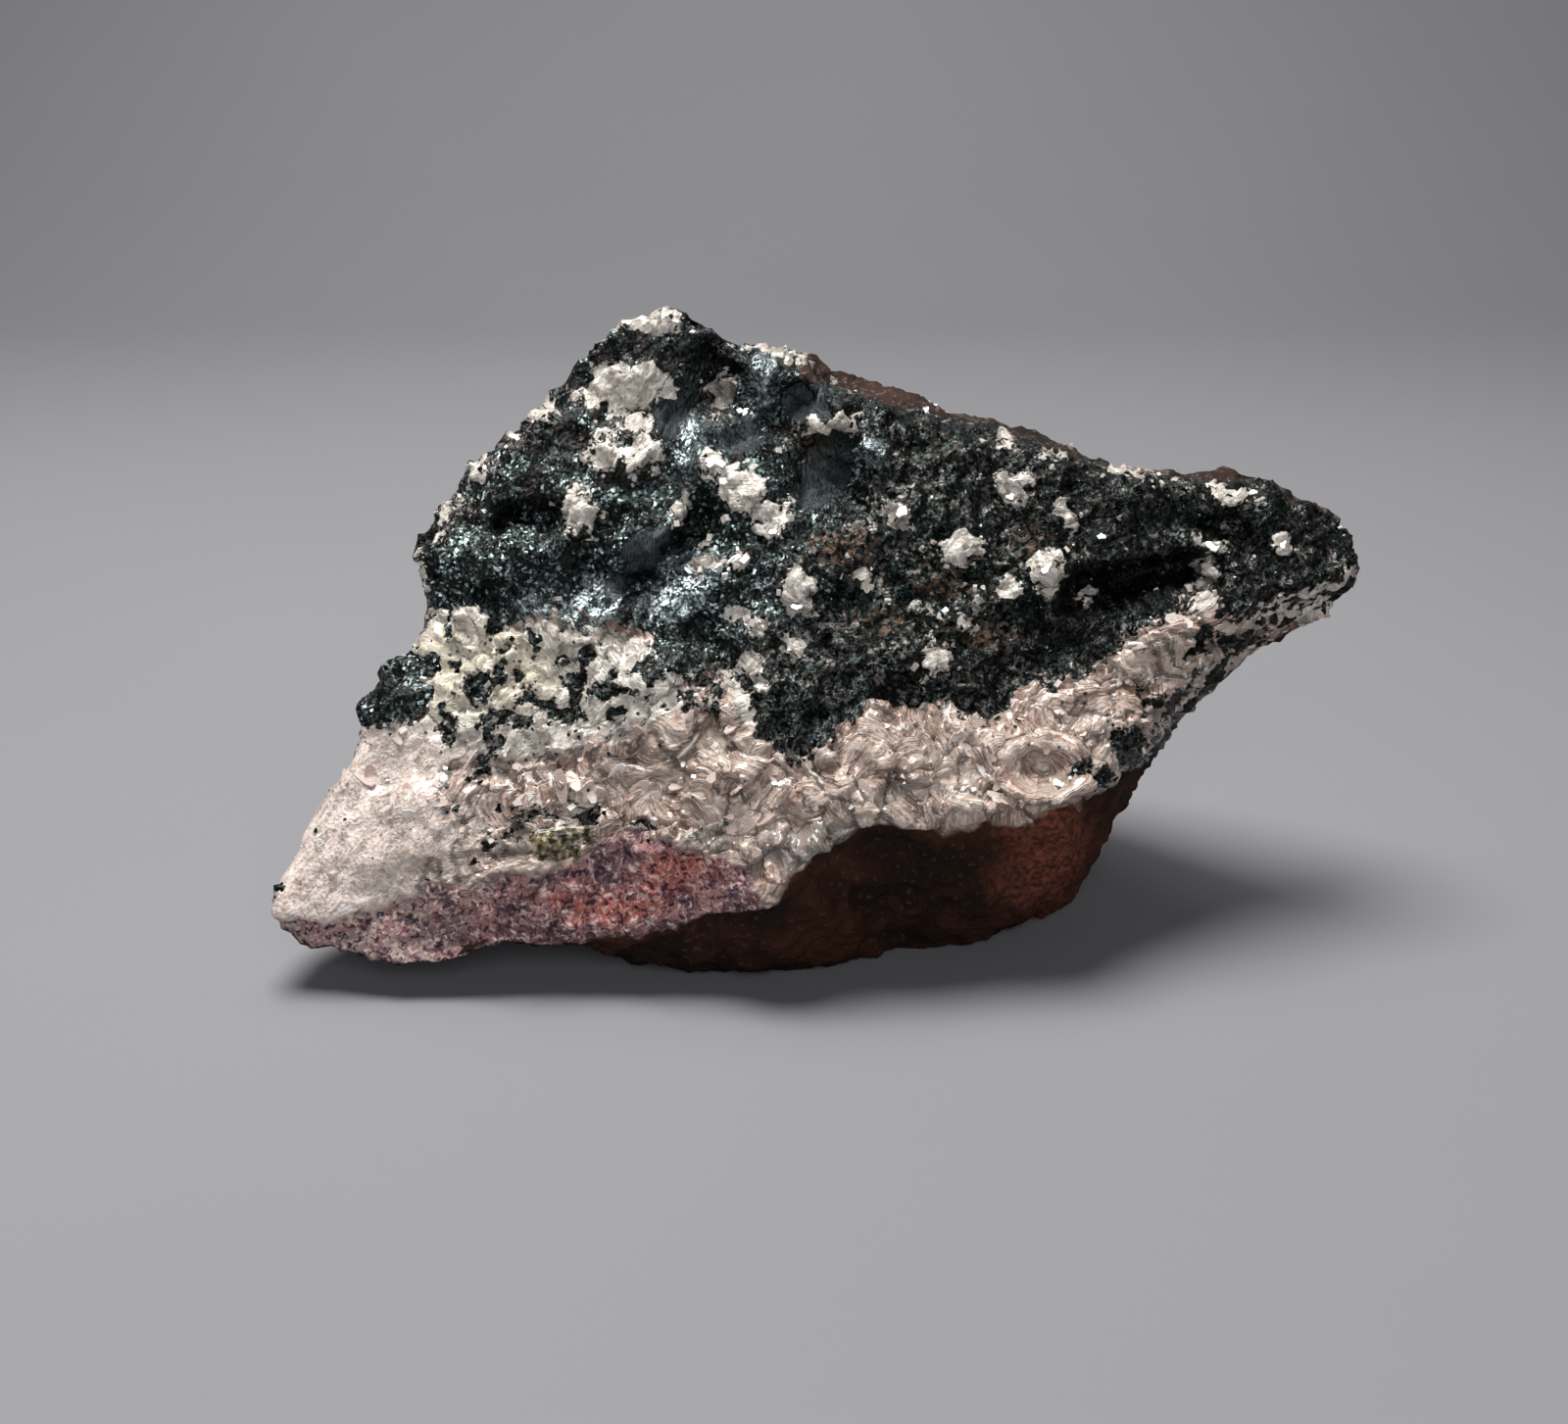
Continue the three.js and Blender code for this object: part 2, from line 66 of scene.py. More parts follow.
# Sizes of the forms on the skin
RIDGE_SIZE = 6.5
CHIP_SIZE = 1.9
PLANE_SIZE = 4.2
CRUMB_SIZE = 0.9
BUNDLE_SIZE = 3.9
FACET_SIZE = 2.4
CALCITE_GRAIN_SIZE = 1.6
RED_RIDGE_SIZE = 3.4
RED_GRAIN_SIZE = 1.4
WEATHERED_SIZE = 4.2
PIT_SIZE = 1.5

# Their heights
RIDGE_HEIGHT = 1.5
CHIP_HEIGHT = 0.5
CRUMB_HEIGHT = 0.35
SILVER_RISE = 0.9
HOLLOW_DEPTH = 0.6
CALCITE_RISE = 0.4
BUNDLE_HEIGHT = 0.9
FACET_HEIGHT = 0.45
RED_RIDGE_HEIGHT = 0.6
RED_GRAIN_HEIGHT = 0.5
WEATHERED_HEIGHT = 0.9
PIT_HEIGHT = 0.45

# Curved lamellae: how far off they curl, how far apart they are and how wide a bundle's rim is
CURL = 5.0
LAMELLA_STEP = 1.7
BUNDLE_RIM = 1.6

# How many small crystals are set on the skin
PLATES = 350
ORE_GRAINS = 4500
MIXED_GRAINS = 150
EDGE_GRAINS = 1100
CALCITE_BLOCKS = 900
FLAKES_EACH = 4

# Regions of the face: corners a, b
CALCITE_BAND = [
    (-52.4, -2.3), (-46, -0.5), (-40, -4), (-34, -4.5), (-30, -2.5), (-22, -1), (-16, 0.5), (-12.2, 0.7),
    (-9, 4.5), (-6, 3.6), (-3.5, -0.5), (-2.6, -4.6), (1, -6.4), (4, -5), (6.5, -1.5), (12.2, 1.6),
    (18.3, 0.7), (25.6, -1.8), (28.5, 0.4), (31, 3.6), (36.5, 4.8), (41.4, 8.0), (45.5, 10.4),
    (49.5, 12.8), (54, 14.2), (54.5, 11.5), (60, 13), (71, 18), (74, 14), (60, 4), (50, -6), (46, -40),
    (-68, -40), (-60, -8),
]
MIXED = [
    (-44.5, 9), (-40.5, 13), (-36, 9), (-31, 11), (-25, 10.5), (-18.5, 9.5), (-14, 5.5), (-12, 1),
    (-16, -1.5), (-24, -4.5), (-33, -6), (-41, -5), (-46, -1), (-47.5, 3),
]
RIGHT_FACE = [(46, 1.5), (50, 8), (54.5, 11.5), (60, 13), (71, 18), (76, 14), (60, 4), (50, -8), (45, -4)]
RED_ZONE = [
    (-62.1, -25.6), (-56.3, -26.1), (-52.4, -24.6), (-48, -23.1), (-43.6, -22.2), (-39.2, -20.9),
    (-32.9, -20.2), (-26.6, -19.2), (-23.6, -16.8), (-19.7, -14.4), (-17.3, -14.9), (-13.4, -16.3),
    (-8.5, -17.8), (-4.1, -19.7), (-3.2, -22.8), (-2.5, -26), (-8, -30), (-20, -36), (-60, -36),
    (-68, -27),
]
OLIVE_POCKET = [
    (-32, -17.4), (-31.5, -14.8), (-27.5, -13.6), (-24, -14.6), (-22.8, -16.6), (-26, -18.4),
    (-30, -18.6),
]
UNDERSIDE = [
    (-36, -30.4), (-28, -28.8), (-18.3, -27.4), (-7.3, -25.3), (-1.2, -23), (3.7, -18.2), (8.5, -14.6),
    (13.4, -13.7), (19.5, -14.8), (25.6, -14.5), (31.7, -13.9), (36.5, -11.5), (39, -9.6), (43.8, -6.2),
    (46, -4), (60, -12), (50, -50), (-40, -50),
]
TOP_STRIP = [
    (2, 41.5), (9, 39.3), (19.5, 36.9), (30.5, 33.8), (41.4, 30.1), (52.4, 28.7), (60, 28.2), (66, 25.6),
    (80, 40), (40, 60), (3, 60),
]
SHINY_ORE = [
    (-70, 10), (-60, 30), (-20, 60), (0, 44), (10, 40), (11, 30), (6, 24), (0, 20), (2, 12), (-6, 7),
    (-14, 7), (-24, 10), (-34, 10), (-44, 6), (-48, -4), (-60, -4),
]
COMBED = [
    (-46, 18), (-42, 27), (-30, 40), (-20, 50), (-6, 46), (-6, 36), (-16, 35), (-18, 30), (-26, 27),
    (-36, 26),
]

# Ellipses on the face: middle, half-widths and turn in degrees
SILVER_FACES = [
    (-11.6, 32.4, 1.7, 4.0, -20), (-13.0, 15.8, 5.6, 3.2, 35), (-23.5, 12.5, 4.4, 2.6, 30),
    (-31, 12.6, 3.0, 1.8, 20), (-2.6, 41.0, 1.3, 3.2, -15), (37.5, 21.5, 2.6, 1.6, 20),
    (58.0, 24.6, 2.6, 1.2, -50), (12.0, 31.5, 3.0, 1.4, -35),
]
SLATE_FACES = [
    (-5.2, 33.8, 3.2, 1.9, -25), (2.4, 38.2, 2.8, 2.4, -30), (5.2, 30, 3.2, 5.2, -30),
    (-13.5, 38.5, 3, 4, 0), (-17.4, 20.0, 4.4, 1.5, 55), (-21.6, 16.0, 1.0, 2.4, -10),
]

# The eye of concentric lamellae in the band: middle and half-widths
SWIRL = (32.4, -7.2, 6.2, 4.2)

# Calcite crystals in the dark mass
WHITE_SPOTS = [
    (-15.8, 48.6, 3.8, 1.6, 0), (-19.8, 40.4, 6.0, 2.9, 8), (-18.0, 35.6, 1.6, 1.3, 0),
    (-22.2, 32.2, 1.4, 2.5, -15), (-17.6, 32.0, 1.9, 2.7, 0), (-25.4, 24.6, 2.1, 2.9, 15),
    (-8.4, 30.4, 1.7, 1.6, 0), (-5.0, 27.4, 4.0, 2.8, -38), (-1.8, 24.6, 2.6, 2.2, -30),
    (-5.8, 18.0, 1.0, 1.2, 40), (-9.9, 18.0, 1.1, 1.6, 0), (2.2, 14.4, 2.3, 2.8, -10),
    (14.4, 24.8, 1.6, 1.9, 0), (22.4, 19.8, 2.8, 2.0, 15), (32.6, 17.4, 2.4, 2.2, 30),
    (28.4, 27.4, 1.7, 1.8, 0), (6.6, 35.8, 2.6, 1.4, 12), (17.2, 12.2, 1.8, 1.0, -10),
    (-30.4, 37.0, 2.4, 1.1, 40), (-38.0, 29.8, 1.3, 2.0, -20), (-45.6, 17.2, 0.9, 1.9, 0),
    (55.0, 26.8, 2.4, 1.2, -5), (33.0, 31.6, 1.6, 0.8, 20), (-38.8, 11.0, 1.9, 1.8, 0),
    (-3.2, 9.8, 1.8, 1.6, 20), (-5.4, 11.8, 1.2, 1.0, 0), (61.8, 20.8, 1.0, 0.7, 0),
    (53.2, 20.6, 1.2, 0.6, 0), (-7.4, 39.0, 1.9, 2.2, 0), (38.0, 14.6, 0.8, 0.7, 0),
    (-13.0, 24.6, 0.8, 1.8, -20), (18.6, 38.2, 1.3, 0.6, -10), (-0.2, 44.4, 2.6, 0.8, -10),
    (6.4, 41.4, 1.4, 0.7, -30), (27.6, 34.0, 1.4, 0.7, 0), (44.8, 29.4, 2.2, 0.7, -8),
    (-42.4, 24.4, 0.8, 1.6, -30), (-29.4, 39.9, 1.0, 1.0, 0), (9.8, 16.8, 1.0, 0.9, 0),
    (24.2, 12.4, 2.2, 1.0, 40), (19.0, 6.2, 1.4, 2.6, -30), (-3.8, 5.4, 1.2, 2.6, 0),
    (1.0, 8.4, 1.4, 1.0, 0), (28.2, 15.4, 1.2, 1.0, 0), (35.2, 24.4, 1.0, 2.0, 20),
    (64.5, 14.4, 2.0, 0.7, 20), (52.4, 16.6, 1.5, 1.8, 0),
]
DARK_SPOTS = [
    (-48.8, 3.0, 4.6, 5.6, -35), (-22, 2.8, 2.6, 1.1, 20), (-30.6, 1.2, 2.6, 0.9, -20),
    (-16.6, 5.0, 1.4, 2.0, 0), (-38.6, 2.0, 1.0, 1.6, 10), (-36.5, -5.6, 0.7, 2.2, -25),
    (-41.6, -1.8, 1.0, 1.6, 0), (42.5, -4.2, 2.4, 2.6, 40), (38.6, -7.4, 1.6, 1.0, 20),
    (-27, 6.6, 1.2, 0.8, 0), (-9.6, 2.2, 1.0, 1.6, 0), (56.0, 8.6, 2.8, 0.8, 38),
    (62.0, 11.2, 2.8, 0.7, 32), (49.8, 1.6, 1.0, 1.8, -20), (-33.2, 4.0, 0.8, 1.2, 30),
    (-34.0, -14.8, 3.2, 0.4, 35), (-27.6, -13.1, 3.6, 0.35, -4), (44.6, 1.6, 0.7, 1.4, 0),
    (67.5, 13.6, 1.6, 0.6, 30), (53.6, 4.6, 1.4, 0.6, 50),
]
# Hollows and clefts whose shadow is painted in as near-black colour; the relief also sinks them a little
PAINTED_SHADOW_HOLLOWS = [
    (43.0, 15.0, 9.0, 3.6, 12), (-33.6, 24.2, 3.0, 1.1, 10), (-29.0, 25.0, 2.6, 1.3, 20),
    (-14.4, 19.6, 8.0, 1.2, 53), (7.6, 37.0, 3.4, 1.1, -4), (-8.2, 43.0, 2.8, 4.0, 0),
    (35.0, 9.6, 7.5, 2.2, 17), (58.0, 20.5, 6.0, 1.2, 20), (-40.0, 12.6, 5.0, 0.9, -8),
    (-33.0, 32.6, 3.2, 0.6, 58), (-29.6, 31.4, 2.8, 0.5, 50), (-2.0, 21.0, 0.8, 3.6, 20),
]
BROWN_STAINS = [
    (7.3, 20.4, 4.2, 2.2, 0), (19.6, 15.9, 3.2, 1.4, -10), (25, 9.8, 3, 1.2, 0), (12, 12, 2.4, 1.4, 0),
    (3.2, 34.2, 3.0, 1.6, 0), (30.5, 21, 2.4, 1.6, 0), (-44, -0.6, 2, 1.4, 0), (-18.0, -3.6, 2.2, 1, 0),
]
GREY_CALCITE = [
    (3.5, -16.5, 7.5, 2.2, 12), (-9.5, -15.5, 3.5, 1.2, 5), (-33, -16.4, 3.2, 1.8, 25),
    (14, -9, 3, 1.4, 20), (-7.4, 39.0, 2.4, 2.6, 0), (-9.9, 18.0, 1.6, 2.0, 0), (14.4, 24.8, 2.2, 2.4, 0),
    (28.4, 27.4, 2.2, 2.2, 0), (52.4, 16.6, 2.0, 2.2, 0), (2.6, 13.6, 1.6, 1.8, 0),
    (-3.2, 9.8, 2.0, 1.8, 0), (24.2, 12.4, 2.2, 1.4, 40),
]
BRICK_PATCHES = [
    (33, -18.5, 5.5, 7.5, -10), (-14, -20.2, 5.5, 2.2, 25), (-20, -24.2, 6.0, 1.8, 10),
    (-26.5, -23, 3, 1.4, 0),
]

# Single bright cleavages: place and size
BRIGHT_FLAKES = [
    (-8.6, 30.6, 1.5), (14.6, 24.9, 1.2), (-5.6, 18.6, 1.3), (32.8, 18.0, 1.3), (61.8, 20.9, 0.9),
    (53.4, 20.7, 1.2), (-7.4, 28.6, 0.9), (-33.2, 34.0, 0.9), (28.2, 27.0, 0.8), (18.3, 38.3, 0.9),
    (-25.0, 25.6, 0.9), (1.6, 13.2, 0.9), (-10.6, -8.0, 1.1), (23.5, 18.6, 0.8), (-1.2, 22.4, 0.8),
    (-42.4, -6.8, 0.7), (39.5, 22.0, 0.7), (-4.8, 37.2, 1.0), (34.4, -8.8, 0.8), (-0.6, -9.0, 0.9),
    (58.5, 27.0, 0.8), (-12.2, -6.6, 0.8), (20.2, 12.6, 0.7), (-14.6, 13.6, 0.8),
]


# Regions and fields

def layout(points):
    """Where points lie on the layout plane, as rows of a, b."""
    forward = np.array([0, math.cos(LAYOUT_TILT), -math.sin(LAYOUT_TILT)])
    upward = np.array([0, math.sin(LAYOUT_TILT), math.cos(LAYOUT_TILT)])
    from_eye = points - EYE
    scale = LAYOUT_DISTANCE / (from_eye @ forward)
    return np.stack([from_eye[:, 0] * scale, (from_eye @ upward) * scale], axis=1)


def inside_distance(spots, corners):
    """Distance from each spot to the edge of a region, positive inside it."""
    starts = np.array(corners, float)
    ends = np.roll(starts, -1, axis=0)
    nearest = np.full(len(spots), np.inf)
    crossings = np.zeros(len(spots), int)
    for start, end in zip(starts, ends):
        side = end - start
        away = spots - start
        along = np.clip(away @ side / (side @ side), 0, 1)
        nearest = np.minimum(nearest, np.linalg.norm(away - along[:, None] * side, axis=1))
        spans = (start[1] > spots[:, 1]) != (end[1] > spots[:, 1])
        crossing = start[0] + away[:, 1] * side[0] / (side[1] or 1e-9)
        crossings += spans & (spots[:, 0] < crossing)
    return np.where(crossings % 2 == 1, nearest, -nearest)


def spot_distance(spots, ellipses):
    """Rough distance from each spot to the edge of the nearest ellipse, positive inside one."""
    deepest = np.full(len(spots), -FAR_BELOW)
    for a, b, half_along, half_across, turn in ellipses:
        angle = math.radians(turn)
        right = spots[:, 0] - a
        up = spots[:, 1] - b
        along = (right * math.cos(angle) + up * math.sin(angle)) / half_along
        across = (up * math.cos(angle) - right * math.sin(angle)) / half_across
        depth = (1 - np.hypot(along, across)) * min(half_along, half_across)
        deepest = np.maximum(deepest, depth)
    return deepest


def fractal(points, size, octaves=3):
    """Smooth noise from about -1 to 1 at each point, with features of this size."""
    return np.array([noise.fractal(Vector(p), 0.9, 2.1, octaves) for p in points / size])


def ridges(points, size, octaves=3):
    """Noise from 0 to about 1 with sharp ridges."""
    height = [noise.ridged_multi_fractal(Vector(p), 0.9, 2.1, octaves, 1.0, 2.0) for p in points / size]
    return np.array(height) / 2


def cell_tilts(points, size, salt):
    """A random direction for each point that is the same all through its cell."""
    tilts = []
    for p in points / size:
        places = noise.voronoi(Vector(p), distance_metric="DISTANCE", exponent=2.5)[1]
        tilts.append(noise.cell_vector(places[0] * 7.3 + Vector((salt, salt, salt))))
    return np.array(tilts) * 2 - 1


def calcite_zone(points, spots):
    """Signed distance inside the calcite of the face: the band, the mixed zone and single crystals."""
    strips = 0.1 + 2.2 * fractal(points * [0.45, 1, 1.4] + 29, STRIP_SIZE)
    band = inside_distance(spots, CALCITE_BAND)
    band = np.where(inside_distance(spots, RIGHT_FACE) > -1, np.minimum(band, strips), band)
    patches = 0.9 + 2.6 * fractal(points + 17, PATCH_SIZE)
    mixed = np.minimum(inside_distance(spots, MIXED) + 0.8, patches)
    crystals = spot_distance(spots, WHITE_SPOTS) - 0.05
    calcite = np.maximum(np.maximum(band, mixed), crystals)
    calcite = np.minimum(calcite, -spot_distance(spots, DARK_SPOTS))
    return calcite + 1.5 * fractal(points, EDGE_SIZE) * blend(4.0, 1.5, np.abs(calcite))


def zones(points, normals):
    """Signed distances in millimetres that say which mineral is at each point, and where shadow is
    painted into hollows.
    """
    to_eye = EYE - points
    to_eye /= np.linalg.norm(to_eye, axis=1)[:, None]
    behind = -10 * np.einsum("ij,ij->i", normals, to_eye)
    wander = fractal(points, WANDER_SIZE)[:, None] * 0.8
    spots = layout(points) + np.hstack([wander, -wander])
    downward = np.where(normals[:, 2] < -OVERHANG, behind, -FAR_BELOW)
    hidden_patches = 3 * fractal(points + 40, HIDDEN_PATCH_SIZE) - 1.2
    weathered = np.minimum(behind - TURNED_AWAY, -hidden_patches)
    yellow = 6 * np.exp(-(((spots[:, 0] + 38) / 9) ** 2) - ((spots[:, 1] - 5) / 6) ** 2) - 2

    def clipped(corners):
        return np.clip(inside_distance(spots, corners), -FAR_BELOW, FAR_BELOW)

    return {
        "calcite": np.where(behind > TURNED_AWAY, hidden_patches, calcite_zone(points, spots)),
        "red": inside_distance(spots, RED_ZONE),
        "olive": inside_distance(spots, OLIVE_POCKET),
        "under": np.maximum(np.minimum(inside_distance(spots, UNDERSIDE), FAR_BELOW), downward),
        "crust": np.maximum(inside_distance(spots, TOP_STRIP), weathered),
        "silver": spot_distance(spots, SILVER_FACES),
        "slate": spot_distance(spots, SLATE_FACES),
        "combed": clipped(COMBED),
        "shiny": clipped(SHINY_ORE),
        "stain": spot_distance(spots, BROWN_STAINS),
        "spot": spot_distance(spots, WHITE_SPOTS),
        "mixed": clipped(MIXED),
        # Where shadow is painted into hollows and clefts
        "black": spot_distance(spots, PAINTED_SHADOW_HOLLOWS),
        "grey": spot_distance(spots, GREY_CALCITE),
        "brick": spot_distance(spots, BRICK_PATCHES),
        "side": clipped(RIGHT_FACE),
        "yellow": yellow,
    }


def blend(low, high, values):
    """0 below low, 1 above high and smooth between."""
    share = np.clip((values - low) / (high - low), 0, 1)
    return share * share * (3 - 2 * share)


# Meshes

def mesh_object(name, points, faces, material, fields=None, smooth=False):
    """A shown piece from points in millimetres, lists of corner numbers and values at the points."""
    mesh = bpy.data.meshes.new(name)
    mesh.from_pydata((np.asarray(points) * MM).tolist(), [], [list(map(int, face)) for face in faces])
    for field, values in (fields or {}).items():
        attribute = mesh.attributes.new(field, "FLOAT", "POINT")
        attribute.data.foreach_set("value", np.asarray(values, np.float32))
    mesh.materials.append(material)
    mesh.polygons.foreach_set("use_smooth", [smooth] * len(mesh.polygons))
    mesh.update()
    piece = bpy.data.objects.new(name, mesh)
    bpy.context.scene.collection.objects.link(piece)
    return piece


def cad_surface():
    """The CAD rock's points in millimetres, each once, and its triangles."""
    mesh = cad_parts["specimen"].data
    mesh.calc_loop_triangles()
    places = np.array([v.co for v in mesh.vertices]) / MM
    corners = np.array([t.vertices for t in mesh.loop_triangles])
    _, first, same = np.unique(np.round(places, 3), axis=0, return_index=True, return_inverse=True)
    faces = same.ravel()[corners]
    real = (faces[:, 0] != faces[:, 1]) & (faces[:, 1] != faces[:, 2]) & (faces[:, 0] != faces[:, 2])
    return places[first], faces[real]


def subdivided(points, faces):
    """Each triangle cut in four, with the surface smoothed by Loop's rule."""
    pairs = np.sort(faces[:, [[0, 1], [1, 2], [2, 0]]], axis=2).reshape(-1, 2)
    edges, index = np.unique(pairs, axis=0, return_inverse=True)
    index = index.reshape(-1, 3)
    opposite = np.zeros((len(edges), 3))
    np.add.at(opposite, index.ravel(), points[faces[:, [2, 0, 1]].ravel()])
    middles = 0.375 * (points[edges[:, 0]] + points[edges[:, 1]]) + 0.125 * opposite
    valence = np.bincount(edges.ravel(), minlength=len(points))
    around = np.zeros_like(points)
    np.add.at(around, edges[:, 0], points[edges[:, 1]])
    np.add.at(around, edges[:, 1], points[edges[:, 0]])
    pull = (3 / (8 * np.maximum(valence, 3)))[:, None]
    kept = points * (1 - valence[:, None] * pull) + pull * around
    m = index + len(points)
    v = faces
    cut = [
        np.stack([v[:, 0], m[:, 0], m[:, 2]], 1), np.stack([m[:, 0], v[:, 1], m[:, 1]], 1),
        np.stack([m[:, 2], m[:, 1], v[:, 2]], 1), np.stack([m[:, 0], m[:, 1], m[:, 2]], 1),
    ]
    return np.vstack([kept, middles]), np.vstack(cut)


def vertex_normals(points, faces):
    """Area-weighted normals."""
    first, second, third = (points[faces[:, corner]] for corner in range(3))
    across = np.cross(second - first, third - first)
    normals = np.zeros_like(points)
    for corner in range(3):
        np.add.at(normals, faces[:, corner], across)
    return normals / np.maximum(np.linalg.norm(normals, axis=1), 1e-12)[:, None]


def cell_at(spot, size):
    """The cell that holds a spot: its three chances, its lean, the way from its middle to the spot,
    and how far the spot is inside its rim, up to 1."""
    near, centres = noise.voronoi(Vector(spot))[:2]
    chance = noise.cell_vector(centres[0] * 7.3)
    lean = noise.cell_vector(centres[0] * 3.1) * 2 - Vector((1, 1, 1))
    away = (Vector(spot) - centres[0]) * size
    return chance, lean, away, min(1.0, (near[1] - near[0]) * size / BUNDLE_RIM)


def winding(points):
    """The points moved a little, so that cells have curved walls."""
    return points + 0.9 * np.stack([fractal(points + shift, 4.0, 2) for shift in (0, 31, 67)], axis=1)


def lamellae(points, size):
    """Bundles of curved lamellae: their relief, and how far across its bundle each point is."""
    relief = np.empty(len(points))
    across = np.empty(len(points))
    for number, spot in enumerate(winding(points) / size):
        chance, lean, away, inside = cell_at(spot, size)
        way = (chance * 2 - Vector((1, 1, 1))).normalized()
        reach = (away + way * CURL * (0.7 + chance.x)).length
        step = (reach / LAMELLA_STEP + 5 * chance.y) % 1
        relief[number] = 0.3 * lean.dot(away) + 0.5 * step + 0.35 * inside + 0.7 * chance.z - 0.9
        across[number] = reach + 9 * chance.y
    return relief, across


def facets(points, size):
    """Height of planes that lean another way in each cell."""
    height = np.empty(len(points))
    for number, spot in enumerate(winding(points) / size):
        _, lean, away, inside = cell_at(spot, size)
        height[number] = lean.dot(away) - 0.6 * inside
    return height


def ore_relief(points, fields):
    """Rise of the dark mass: ridges, chips and leaning planes, crumbs to the right and deep hollows."""
    smooth = blend(-1.0, 0.8, np.maximum(fields["silver"], fields["slate"]))
    crumbs = CRUMB_HEIGHT * blend(2.0, -3.0, fields["shiny"])
    rough = RIDGE_HEIGHT * (ridges(points, RIDGE_SIZE) - 0.5) + CHIP_HEIGHT * fractal(points, CHIP_SIZE)
    rise = (1 - 0.8 * smooth) * rough
    rise += SILVER_RISE * blend(-1.5, 1.5, fields["silver"])
    rise -= HOLLOW_DEPTH * blend(-0.8, 1.2, fields["black"])
    rise += crumbs * fractal(points + 3, CRUMB_SIZE, 2)
    return rise + (0.25 + 0.3 * smooth) * facets(points + 11, PLANE_SIZE)


def calcite_relief(points, fields):
    """Rise of the calcite: curled bundles, the eye, facetted crystals and a grainy left wing. Its colours
    use the four fields that this adds."""
    bundles, across = lamellae(points, BUNDLE_SIZE)
    spots = layout(points)
    a, b, half_along, half_across = SWIRL
    around = np.hypot((spots[:, 0] - a) / half_along, (spots[:, 1] - b) / half_across)
    around = around + 0.14 * fractal(points, 2.4)
    rings = 1.1 * blend(0.5, 0.85, around) - 0.7 + 0.35 * ((3 * around) % 1)
    swirl = blend(1.15, 0.95, around)
    bundles = bundles * (1 - swirl) + swirl * rings
    across = np.where(around < 1.05, 4.5 * around, across)
    slant = 0.9 * (points @ STREAK_WAY + 1.6 * fractal(points, 4.0, 2))
    wing = blend(WING_START, WING_FULL, points[:, 0] + 7 * fractal(points, 5.0, 2))
    massive = np.maximum(blend(-2.6, -1.4, fields["spot"]), blend(-1.0, 1.0, fields["mixed"]))
    grain = fractal(points, CALCITE_GRAIN_SIZE, 2)
    lift = (1 - 0.8 * wing) * (1 - 0.75 * massive) * BUNDLE_HEIGHT * bundles
    lift += (0.45 - 0.25 * wing - 0.2 * massive) * grain
    lift += massive * FACET_HEIGHT * facets(points, FACET_SIZE)
    fields["across"] = np.where((wing > 0.5) | (fields["combed"] > 0), slant, across)
    fields["massive"] = massive
    fields["wing"] = wing
    fields["lift"] = lift
    return CALCITE_RISE + lift


def skin_surface():
    """The fine skin: the CAD rock subdivided and given the relief of each mineral."""
    points, faces = cad_surface()
    for _ in range(SKIN_LEVELS):
        points, faces = subdivided(points, faces)
    normals = vertex_normals(points, faces)
    fields = zones(points, normals)
    calcite = blend(-0.4, 0.4, fields["calcite"])
    red = blend(-0.5, 0.5, fields["red"])
    plain = np.clip(blend(-0.5, 0.5, fields["under"]) + blend(-0.5, 0.5, fields["crust"]), 0, 1)
    granular = RED_GRAIN_HEIGHT * fractal(points, RED_GRAIN_SIZE) - 0.3
    granular += RED_RIDGE_HEIGHT * ridges(points, RED_RIDGE_SIZE)
    worn = WEATHERED_HEIGHT * fractal(points, WEATHERED_SIZE) + PIT_HEIGHT * fractal(points + 5, PIT_SIZE)
    rise = (1 - calcite) * (1 - plain) * (1 - red) * ore_relief(points, fields)
    rise += calcite * (1 - plain) * (1 - red) * calcite_relief(points, fields)
    rise += red * (1 - plain) * granular
    rise += plain * worn
    lifted = blend(0.05, 1.0, points[:, 2])
    points = points + normals * (rise * lifted)[:, None]
    points[:, 2] = np.maximum(points[:, 2], 0)
    return points, faces, fields


# Small solids: corners about the origin and faces

CUBE = (
    np.array([(x, y, z) for x in (-1, 1) for y in (-1, 1) for z in (-1, 1)], float),
    [(0, 1, 3, 2), (4, 6, 7, 5), (0, 4, 5, 1), (2, 3, 7, 6), (0, 2, 6, 4), (1, 5, 7, 3)],
)
OCTAHEDRON = (
    np.array([(1, 0, 0), (-1, 0, 0), (0, 1, 0), (0, -1, 0), (0, 0, 1), (0, 0, -1)], float),
    [(0, 2, 4), (2, 1, 4), (1, 3, 4), (3, 0, 4), (2, 0, 5), (1, 2, 5), (3, 1, 5), (0, 3, 5)],
)


def plate(bend):
    """A thin bent leaf, 2 long, 2 wide and 2 thick before it is scaled, with ragged ends."""
    steps = 4
    corners = []
    for i in range(steps + 1):
        along = -1 + 2 * i / steps
        width = 1 - 0.55 * abs(along) ** 3
        lift = bend * along * along
        for side, top in ((-1, -1), (1, -1), (1, 1), (-1, 1)):
            corners.append((along, side * width, top + lift))
    faces = [(3, 2, 1, 0), (4 * steps, 4 * steps + 1, 4 * steps + 2, 4 * steps + 3)]
    for i in range(steps):
        for j in range(4):
            faces.append((4 * i + j, 4 * i + (j + 1) % 4, 4 * i + 4 + (j + 1) % 4, 4 * i + 4 + j))
    return np.array(corners), faces


